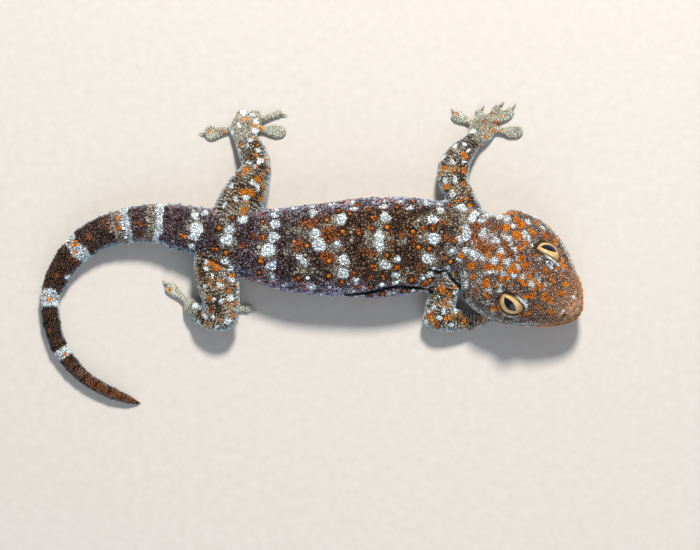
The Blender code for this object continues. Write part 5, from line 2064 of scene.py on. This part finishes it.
    def snout(self) -> Object:
        """The smooth plates round the nostrils and on the tip of the snout.

        Returns:
            The piece.
        """
        places = [HEAD.place(ahead, side, 19.0) for ahead, side, _ in self.plates]
        hits = [self.sower.tree.ray_cast(Vector(place), Vector((0.0, 0.0, -1.0)))[0] for place in places]
        roots = self.sower.set_down(np.array([hit or place for hit, place in zip(hits, places)]))
        self.taken.append(roots.points)
        wide = 1.12 * np.array([size for _, _, size in self.plates])
        sizes = np.column_stack([wide, wide * 1.1, 0.08 + 0.1 * wide])
        tones = mix(COLOURS.snout, COLOURS.head, 0.3 + 0.25 * np.sin(wide * 9.0))
        # The pale spots at the nostrils are painted highlights, and the plates under them take them on
        tones = mix(tones, COLOURS.pale, self.markings.share_of(roots.points, Ink.PALE, 0.8))
        piece = strew("snout_plates", PLATE, roots, sizes, 0.0, tones)
        place_piece(piece)
        return piece

    def dress(
        self,
        name: str,
        form: ScaleForm,
        roots: Roots,
        size: tuple[float, float, float],
        tilt: float,
        shade: float,
        tint: float = 0.0,
    ) -> Object:
        """Models one field of raised scales and sets it on the body.

        Args:
            name: The piece's name.
            form: The kind of scale.
            roots: Where they grow.
            size: Length, width and height in millimetres.
            tilt: How far the hind edge lifts, in degrees.
            shade: What the markings' colour is multiplied by at the darkest.
            tint: The share of the pale blue of the tail's edges.

        Returns:
            The piece.
        """
        draw = np.random.default_rng(len(name))
        count = len(roots.points)
        step, _, _ = SPINE_LINE.nearest(roots.points)
        slim = np.clip(SPINE_LINE.rows[step, 2] / 7.0, 0.35, 1.0)
        grow = draw.uniform(0.85, 1.15, count) * slim
        sizes = grow[:, None] * np.array(size)[None]
        colours = self.markings.colour(roots.points, roots.normals, roots.region, 7)
        colours *= draw.uniform(shade, 1.0, count)[:, None]
        ground = 1.0 - smooth_step(0.12, 0.3, colours[:, 0])
        colours = mix(colours, linear(74, 44, 30), 0.8 * ground)
        colours = mix(colours, COLOURS.tail_edge, tint)
        piece = strew(name, form, roots, sizes, tilt, colours)
        self.taken.append(points_of(piece.data))
        place_piece(piece)
        return piece

    def build(self) -> list[ndarray]:
        """Makes every field of raised scales, and tells which places they take up.

        Returns:
            The places, piece by piece.
        """
        self.trunk()
        self.whorls()
        self.teeth()
        self.snout()
        return self.taken


@dataclass
class Lips:
    """The plates along both edges of the mouth."""

    sower: Sower
    step: float = 2.3
    height: float = 1.62
    thick: float = 0.26

    def path(self, above: float) -> tuple[ndarray, ndarray]:
        """The line that a row of plates follows round the snout.

        Args:
            above: How far above the line of the mouth the row's middle lies, in millimetres.

        Returns:
            Places at equal steps from the right corner to the left, and the directions along it.
        """
        turns = np.radians(np.linspace(-150.0, 150.0, 301))
        middle, reach = HEAD.place(6.0, 0.0, 0.0), np.full(len(turns), 12.0)
        out = np.outer(np.cos(turns), HEAD.ahead) + np.outer(np.sin(turns), HEAD.left)
        for _ in range(3):
            line = middle + out * reach[:, None]
            line[:, 2] = HEAD.mouth_height(HEAD.measure(line)[0]) + above
            for number, start in enumerate(line):
                hit = self.sower.tree.ray_cast(Vector(start + out[number] * 9.0), Vector(-out[number]))[0]
                if hit is not None:
                    reach[number] = math.hypot(hit[0] - middle[0], hit[1] - middle[1])
            padded = np.pad(reach, 6, mode="edge")
            reach = np.convolve(padded, np.ones(13) / 13.0, mode="valid")
        line = line[HEAD.measure(line)[0] > -10.0]
        run = np.concatenate([[0.0], np.cumsum(np.linalg.norm(np.diff(line, axis=0), axis=1))])
        count = 2 * round(run[-1] / self.step / 2) + 1
        places = np.linspace(run[0], run[-1], count)
        points = np.column_stack([np.interp(places, run, line[:, i]) for i in range(3)])
        return points, unit(np.gradient(points, axis=0))

    def row(self, name: str, above: float, slack: float) -> Object:
        """Models one row of lip plates.

        Args:
            name: The piece's name.
            above: Its height over the line of the mouth.
            slack: Its share of the full height.

        Returns:
            The piece.
        """
        points, ways = self.path(above)
        side = HEAD.measure(points)[1]
        roots = self.sower.set_down(points, ways * np.where(side > 0, 1.0, -1.0)[:, None])
        ahead = HEAD.measure(roots.points)[0]
        shrink = smooth_step(-13.0, 0.0, ahead) * 0.4 + 0.6
        count = len(points)
        sizes = np.column_stack([
            np.full(count, self.step * 0.97), self.height * slack * shrink, np.full(count, self.thick)
        ])
        return strew(name, PLATE, roots, sizes, 3.0, self.tones(side, ahead))

    def tones(self, side: ndarray, ahead: ndarray) -> ndarray:
        """Pale blue-white plates with a pinkish one here and there, and orange ones round the snout.

        Args:
            side: How far each plate lies to the left.
            ahead: How far each lies ahead.

        Returns:
            Their linear colours.
        """
        draw = np.random.default_rng(5)
        count = len(side)
        pale, warm = linear(208, 218, 220), linear(218, 164, 142)
        base = np.where((draw.random(count) < 0.25)[:, None], warm, pale)
        front = smooth_step(12.5, 16.5, ahead + 3.5 * (side < 0))
        return mix(base, linear(222, 134, 34), front) * draw.uniform(0.85, 1.08, count)[:, None]

    def build(self) -> list[ndarray]:
        """Makes both rows, and tells which places they take up.

        Returns:
            The places, row by row.
        """
        taken = []
        for name, above, slack in (("lips_upper", 0.95, 1.0), ("lips_lower", -1.0, 0.95)):
            piece = self.row(name, above, slack)
            place_piece(piece)
            taken.append(points_of(piece.data))
        return taken


@dataclass(frozen=True)
class Slit:
    """How a pupil lies: its turn in degrees, and how far its middle is ahead and to the crown."""

    turn: float
    ahead: float
    crown: float


@dataclass
class Eyeball:
    """A glossy eyeball with a gold iris and a slit pupil, and the fringe of scales on its lids."""

    place: EyePlace
    slit: Slit
    sower: Sower
    radius: float = EYE_RADIUS - 0.04
    segments: int = 72
    rings: int = 48
    # The close rows of scales along the lids: the share of the opening, and how many
    fringe_rows: tuple[tuple[float, int], ...] = ((1.03, 66), (1.13, 58), (1.25, 62))

    def ball(self) -> Object:
        """Models the eyeball with its pole on the gaze, and a low swell of the cornea over the pupil.

        Returns:
            The eyeball, with each vertex's place on the eye in the attribute eye_place, and its share
            of the way out to the lids in the attribute lid.
        """
        pick()
        bpy.ops.mesh.primitive_uv_sphere_add(
            segments=self.segments, ring_count=self.rings, radius=self.radius
        )
        obj = bpy.context.object
        obj.name = obj.data.name = "eyeball_" + self.place.name
        along, across, out = self.place.axes
        local = read(obj.data.vertices, "co")
        frame_rows = np.array((along, across * self.place.side, out))
        set_points(obj.data, local @ frame_rows + self.place.centre)
        # The share of the way out to the lids, which places the painted shadow along their edge
        lid = obj.data.attributes.new("lid", "FLOAT", "POINT")
        lid.data.foreach_set("value", self.place.measure(points_of(obj.data))[1].astype(np.float32))
        layer = obj.data.attributes.new("eye_place", "FLOAT_VECTOR", "POINT")
        u = local[:, 0] - self.slit.ahead
        v = local[:, 1] * self.place.side - self.slit.crown
        spun = np.column_stack([*spin(u, v, math.radians(self.slit.turn)), local[:, 2]])
        layer.data.foreach_set("vector", spun.astype(np.float32).ravel())
        with editing(obj):
            bpy.ops.mesh.normals_make_consistent(inside=False)
        obj.data.shade_smooth()
        obj.data.uv_layers.active.name = UNWRAP
        return obj

    def edge(self, share: float, far: float, count: int) -> ndarray:
        """Places along the lids' edge, at a share of the opening and a distance from the eye's centre.

        Args:
            share: The share of the way out to the edge.
            far: The distance, in millimetres.
            count: How many places.

        Returns:
            The places.
        """
        along, across, out = self.place.axes
        found = []
        for turn in np.linspace(0.0, 2 * math.pi, count, endpoint=False):
            swing = math.radians(share / self.place.reach(math.cos(turn), math.sin(turn)))
            flat = along * math.cos(turn) + across * math.sin(turn)
            found.append(self.place.centre + (out * math.cos(swing) + flat * math.sin(swing)) * far)
        return np.array(found)

    def fringe(self) -> Object:
        """Models the close rows of small scales that edge the lids.

        Returns:
            The piece.
        """
        counts = [count for _, count in self.fringe_rows]
        places = np.concatenate([self.edge(share, self.radius + 0.5, n) for share, n in self.fringe_rows])
        roots = self.sower.set_down(places, places - self.place.centre)
        inner = np.arange(len(places)) < counts[0]
        sizes = np.where(inner[:, None], (0.5, 0.42, 0.26), (0.56, 0.52, 0.26))
        draw = np.random.default_rng(77)
        turn = np.concatenate([np.linspace(0.0, 2 * math.pi, n, endpoint=False) for n in counts])
        rear = smooth_step(0.1, 0.7, 0.55 * np.sin(turn) - 0.8 * np.cos(turn))
        front = smooth_step(0.5, 0.9, 0.72 * np.sin(turn) + 0.7 * np.cos(turn))
        tones = mix(linear(140, 92, 48), linear(46, 28, 18), rear)
        outer = mix(linear(132, 106, 84), linear(226, 234, 236), front)
        tones, outer = mix(tones, linear(220, 206, 180), front), mix(outer, linear(70, 46, 30), rear)
        tones = np.where(inner[:, None], tones, outer)
        tones = tones * draw.uniform(0.8, 1.15, len(places))[:, None]
        return strew("lid_scales_" + self.place.name, KNOB, roots, sizes, 8.0, tones)

    def build(self) -> list[ndarray]:
        """Makes the eyeball and the fringe, and tells which places the fringe takes up.

        Returns:
            The places, row by row.
        """
        ball, fringe = self.ball(), self.fringe()
        place_piece(ball, ("eye_" + self.place.name,))
        place_piece(fringe)
        ball.data.materials.append(EyeFinish().make())
        return [self.edge(share, self.radius + 0.5, count) for share, count in self.fringe_rows]


@dataclass
class Claws:
    """The small hooked claws of one foot."""

    foot: str
    root: float = 0.4
    length: float = CLAW_LENGTH
    sides: int = 12
    squash: tuple[float, float, float] = (1.15, 0.8, 1.0)
    # The rings from root to point, as shares of the root's radius and of the length
    taper: tuple[tuple[float, float], ...] = (
        (1.0, 0.0), (0.98, 0.22), (0.84, 0.44), (0.64, 0.64), (0.4, 0.82), (0.2, 0.94), (0.0, 1.0)
    )

    def hook(self, pad: tuple[float, float], tip: tuple[float, float]) -> Object:
        """Models one claw, drawn out along an arc down to its point.

        Args:
            pad: The middle of the toe's pad.
            tip: The toe's tip.

        Returns:
            The claw, in its place.
        """
        tall = self.length + 1.0
        obj = draw_up(self.sides, [(self.root * wide, tall * share) for wide, share in self.taper])
        local = read(obj.data.vertices, "co") * self.squash
        share = local[:, 2] / tall
        way = unit(np.subtract(tip, pad))
        reach = self.length + 0.6
        flat = np.array(tip) - way * reach + np.outer(share * reach, way)
        flat += np.outer(local[:, 1], (-way[1], way[0]))
        rise = 1.0 + 0.9 * share - 1.6 * share**2 + local[:, 0] * (1.0 - 0.35 * share)
        points = np.column_stack([flat, np.maximum(rise, 0.05)])
        set_points(obj.data, np.clip(points, LOW, HIGH))
        return obj

    def build(self) -> None:
        """Makes the foot's claws as one piece."""
        hooks = [self.hook(pad, tip) for pad, tip, claw in TOES[self.foot] if claw]
        piece = join(hooks, self.foot.replace("foot", "claws"))
        piece.data.shade_smooth()
        unwrap(piece, 0.02)
        piece.data.materials.append(HornFinish().make())
        place_piece(piece)


class Board:
    """A material's node board, with short ways to add the nodes that the finishes share."""

    def __init__(self, name: str) -> None:
        """Starts a material with a Principled shader.

        Args:
            name: The material's name.
        """
        self.material = bpy.data.materials.new(name)
        self.material.use_nodes = True
        self.tree = self.material.node_tree
        self.shader = self.tree.nodes["Principled BSDF"]

    def add(self, kind: str, **settings: object) -> Node:
        """Adds a node, with its settings.

        Args:
            kind: The node's kind, as in its type name.
            settings: The settings by name.

        Returns:
            The node.
        """
        node = self.tree.nodes.new("ShaderNode" + kind)
        for name, value in settings.items():
            setattr(node, name, value)
        return node

    def feed(self, value: object, socket: NodeSocket) -> None:
        """Links a socket or sets a plain value.

        Args:
            value: Another node's socket, or a value.
            socket: What it feeds.
        """
        if isinstance(value, NodeSocket):
            self.tree.links.new(value, socket)
        else:
            socket.default_value = value

    def math(self, operation: str, first: object, second: object = 0.0) -> NodeSocket:
        """One sum of numbers.

        Args:
            operation: The sum's name.
            first: The first number, or a socket.
            second: The second.

        Returns:
            The result.
        """
        node = self.add("Math", operation=operation)
        self.feed(first, node.inputs[0])
        self.feed(second, node.inputs[1])
        return node.outputs[0]

    def blend(self, share: object, first: object, second: object, how: str = "MIX") -> NodeSocket:
        """Two colours mixed.

        Args:
            share: How much of the second, or a socket.
            first: The first colour, or a socket.
            second: The second.
            how: The way they mix.

        Returns:
            The mixed colour.
        """
        node = self.add("Mix", data_type="RGBA", blend_type=how)
        self.feed(share, node.inputs["Factor"])
        self.feed(first, node.inputs[6])
        self.feed(second, node.inputs[7])
        return node.outputs[2]

    def noise(self, scale: float, detail: float = 3.0, vector: object = None) -> NodeSocket:
        """Noise with a scale in turns per metre, on Object coordinates unless another vector is given.

        Args:
            scale: Turns per metre.
            detail: How many finer layers it has.
            vector: The other vector.

        Returns:
            The noise, about 0 to 1.
        """
        node = self.add("TexNoise")
        node.inputs["Scale"].default_value = scale
        node.inputs["Detail"].default_value = detail
        if vector is None:
            vector = self.add("TexCoord").outputs["Object"]
        self.feed(vector, node.inputs["Vector"])
        return node.outputs["Fac"]

    def span(self, value: object, low: float, high: float, to_low: float, to_high: float) -> NodeSocket:
        """A number's range carried to another, and held at its ends.

        Args:
            value: The number's socket.
            low: The range's low end.
            high: Its high end.
            to_low: What the low end becomes.
            to_high: What the high end becomes.

        Returns:
            The result.
        """
        node = self.add("MapRange")
        for number, entry in enumerate((value, low, high, to_low, to_high)):
            self.feed(entry, node.inputs[number])
        return node.outputs[0]

    def finish(self, sockets: dict[str, object]) -> Material:
        """Feeds the shader's sockets by name, and gives the finished material."""
        for name, value in sockets.items():
            self.feed(value, self.shader.inputs[name])
        return self.material

    def bump(self, height: NodeSocket, strength: float, distance: float) -> None:
        """Roughens the surface.

        Args:
            height: The socket that tells the height.
            strength: From 0 to 1.
            distance: How deep, in metres.
        """
        node = self.add("Bump")
        node.inputs["Strength"].default_value = strength
        node.inputs["Distance"].default_value = distance
        self.feed(height, node.inputs["Height"])
        self.feed(node.outputs["Normal"], self.shader.inputs["Normal"])


@dataclass(frozen=True)
class ScaleFinish:
    """Dry scales that carry the painted markings, with fine grain and a faint waxy sheen."""

    name: str = "scale"
    roughness: tuple[float, float] = (0.46, 0.66)
    grain: float = 4200.0
    relief: float = 0.00005
    coat: float = 0.04
    gloss: float = 0.25

    def make(self) -> Material:
        """Makes the material.

        Returns:
            The material.
        """
        board = Board(self.name)
        tone = board.add("Attribute", attribute_name="tone").outputs["Color"]
        grain = board.noise(self.grain)
        mottle = board.span(grain, 0.3, 0.7, 0.82, 1.12)
        board.bump(grain, 0.5, self.relief)
        return board.finish({
            "Base Color": board.blend(1.0, tone, mottle, "MULTIPLY"),
            "Roughness": board.span(grain, 0.3, 0.7, *self.roughness),
            "Coat Weight": self.coat,
            "Coat Roughness": 0.4,
            "Specular IOR Level": self.gloss,
        })


@dataclass(frozen=True)
class EyeFinish:
    """A gold iris with fine radial veins round a wavy slit pupil, under a clear cornea."""

    gold: tuple[int, int, int] = (214, 172, 104)
    # deep colours the iris's own specks, and also its painted shade towards the rim
    deep: tuple[int, int, int] = (128, 84, 34)
    vein: tuple[int, int, int] = (240, 214, 156)
    pupil: tuple[int, int, int] = (4, 12, 24)
    # lid and lid_shade paint shadow on the ball along the lids' edge
    lid: tuple[int, int, int] = (44, 26, 16)
    lid_shade: float = 0.86
    half_length: float = 3.3
    half_width: float = 1.65
    ripple: float = 0.045

    def make(self) -> Material:
        """Makes the material.

        Returns:
            The material.
        """
        board = Board("eye")
        place = board.add("Attribute", attribute_name="eye_place").outputs["Vector"]
        split = board.add("SeparateXYZ")
        board.feed(place, split.inputs[0])
        u, v = split.outputs[0], split.outputs[1]
        ahead = board.math("DIVIDE", u, self.half_length)
        round_off = board.math("SUBTRACT", 1.0, board.math("MULTIPLY", ahead, ahead))
        lens = board.math("POWER", board.math("MAXIMUM", round_off, 0.0), 0.8)
        wave = board.math("MULTIPLY", board.math("SINE", board.math("MULTIPLY", u, 5.4)), self.ripple)
        half = board.math("ADD", board.math("MULTIPLY", lens, self.half_width), wave)
        inside = board.math("SUBTRACT", half, board.math("ABSOLUTE", v))
        pupil = board.span(inside, -0.04, 0.05, 0.0, 1.0)
        around = board.math("ARCTAN2", v, u)
        square = board.math("ADD", board.math("MULTIPLY", u, u), board.math("MULTIPLY", v, v))
        far = board.math("SQRT", square)
        polar = board.add("CombineXYZ")
        board.feed(board.math("MULTIPLY", around, 6.0), polar.inputs[0])
        board.feed(board.math("MULTIPLY", far, 0.8), polar.inputs[1])
        veins = board.noise(3.0, 5.0, polar.outputs[0])
        speck = board.noise(3.5, 4.0, place)
        lid = board.add("Attribute", attribute_name="lid").outputs["Fac"]
        iris = board.blend(board.span(veins, 0.35, 0.65, 0.0, 1.0), rgba(self.gold), rgba(self.vein))
        # Painted shade darkens the iris towards its rim and along the lids' edge; the specks are the iris's
        # own colour
        for share, tone in (
            (board.span(far, 3.2, 4.9, 0.0, 0.85), self.deep),
            (board.span(speck, 0.46, 0.62, 0.0, 0.65), self.deep),
            (board.span(lid, self.lid_shade, 1.0, 0.0, 0.9), self.lid),
            (pupil, self.pupil),
        ):
            iris = board.blend(share, iris, rgba(tone))
        return board.finish({
            "Base Color": iris,
            "Roughness": board.span(veins, 0.3, 0.7, 0.3, 0.42),
            "Specular IOR Level": 0.1,
            "Coat Weight": 0.65,
            "Coat Roughness": 0.03,
        })


@dataclass(frozen=True)
class HornFinish:
    """Dark horn with faint lengthwise streaks."""

    dark: tuple[int, int, int] = (98, 84, 70)
    light: tuple[int, int, int] = (184, 170, 148)
    relief: float = 0.00003

    def make(self) -> Material:
        """Makes the material.

        Returns:
            The material.
        """
        board = Board("horn")
        streak = board.noise(2600.0, 4.0)
        share = board.span(streak, 0.35, 0.7, 0.0, 1.0)
        board.bump(streak, 0.3, self.relief)
        return board.finish({
            "Base Color": board.blend(share, rgba(self.dark), rgba(self.light)),
            "Roughness": board.span(streak, 0.3, 0.7, 0.25, 0.4),
        })


@dataclass
class Stage:
    """The plain floor and the soft lights."""

    half_size: float = 1.2
    key_power: float = 19.0
    key_place: tuple[float, float, float] = (0.15, 0.75, 0.85)
    key_size: float = 0.22
    key_tone: tuple[float, float, float] = (1.0, 0.95, 0.87)
    fill_power: float = 4.0
    fill_place: tuple[float, float, float] = (0.1, -0.8, 0.5)
    fill_size: float = 0.9
    fill_tone: tuple[float, float, float] = (0.8, 0.88, 1.0)
    sky_tone: tuple[float, float, float, float] = (0.88, 0.93, 1.0, 1.0)
    sky_strength: float = 0.3
    floor_tones: tuple[tuple[float, ...], ...] = ((0.56, 0.53, 0.5, 1.0), (0.6, 0.57, 0.54, 1.0))

    def floor(self) -> None:
        """Makes the pale floor."""
        pick()
        bpy.ops.mesh.primitive_plane_add(size=2 * self.half_size)
        floor = bpy.context.object
        floor.name = "floor"
        board = Board("floor")
        grain = board.noise(300.0, 5.0)
        share = board.span(grain, 0.3, 0.7, 0.0, 1.0)
        tone = board.blend(share, *self.floor_tones)
        floor.data.materials.append(board.finish({"Base Color": tone, "Roughness": 0.9}))

    def light(
        self, name: str, place: tuple[float, float, float], size: float, power: float, tone: tuple
    ) -> None:
        """Adds one area light that points at the animal.

        Args:
            name: The light's name.
            place: Where it stands, in metres.
            size: How wide it is, in metres.
            power: Its power in watts.
            tone: Its linear colour.
        """
        data = bpy.data.lights.new(name, "AREA")
        data.shape = "DISK"
        data.size = size
        data.energy = power
        data.color = tone
        lamp = bpy.data.objects.new(name, data)
        lamp.location = place
        lamp.rotation_euler = (-Vector(place)).to_track_quat("-Z", "Y").to_euler()
        bpy.context.scene.collection.objects.link(lamp)

    def build(self) -> None:
        """Sets up floor, lights and sky."""
        self.floor()
        self.light("key", self.key_place, self.key_size, self.key_power, self.key_tone)
        self.light("fill", self.fill_place, self.fill_size, self.fill_power, self.fill_tone)
        world = bpy.data.worlds.new("sky")
        world.use_nodes = True
        back = world.node_tree.nodes["Background"]
        back.inputs["Color"].default_value = self.sky_tone
        back.inputs["Strength"].default_value = self.sky_strength
        bpy.context.scene.world = world
        bpy.context.scene.view_settings.view_transform = "Standard"


def main() -> None:
    """Builds the animal, sets the stage and the camera, and reports each piece."""
    logging.basicConfig(level=logging.INFO, format="%(message)s", stream=sys.stdout)
    VIEW.build()
    maker = Skin()
    skin = maker.build()
    points = points_of(skin.data)
    region = maker.regions(points)
    sower = Sower(skin, region)
    markings = Markings(sower.tree)
    taken = Knobs(sower, markings).build()
    taken += Lips(sower).build()
    for side, slit in (("left", Slit(-20.0, 0.3, 0.4)), ("right", Slit(-17.0, 0.0, 0.4))):
        taken += Eyeball(EYES[side], slit, sower).build()
    coat = Coat(sower, markings).build(taken)
    tone = markings.colour(points, sower.normals, region, 1)
    # The skin between the scales is painted darker, as shade in the gaps, less so under pale markings and on
    # the feet
    gap_shade = 0.14 + 0.2 * smooth_step(0.2, 0.6, tone.max(axis=1)) + 0.16 * (region == Region.FOOT)
    paint(skin.data, tone * gap_shade[:, None])
    place_piece(skin, maker.nodes)
    finish = ScaleFinish().make()
    glossy = ScaleFinish("knob", (0.3, 0.44), coat=0.15).make()
    between = ScaleFinish("skin", (0.75, 0.9), coat=0.0, gloss=0.06).make()
    for obj in bpy.context.scene.objects:
        if obj.type == "MESH" and "tone" in obj.data.attributes:
            shiny = obj.name.startswith(("knobs_trunk", "snout"))
            obj.data.materials.append(between if obj is skin else glossy if shiny else finish)
    for foot in TOES:
        Claws(foot).build()
    Stage().build()
    LOG.info("%d coat pieces with %d faces", len(coat), sum(len(piece.data.polygons) for piece in coat))


if __name__ == "__main__":
    main()
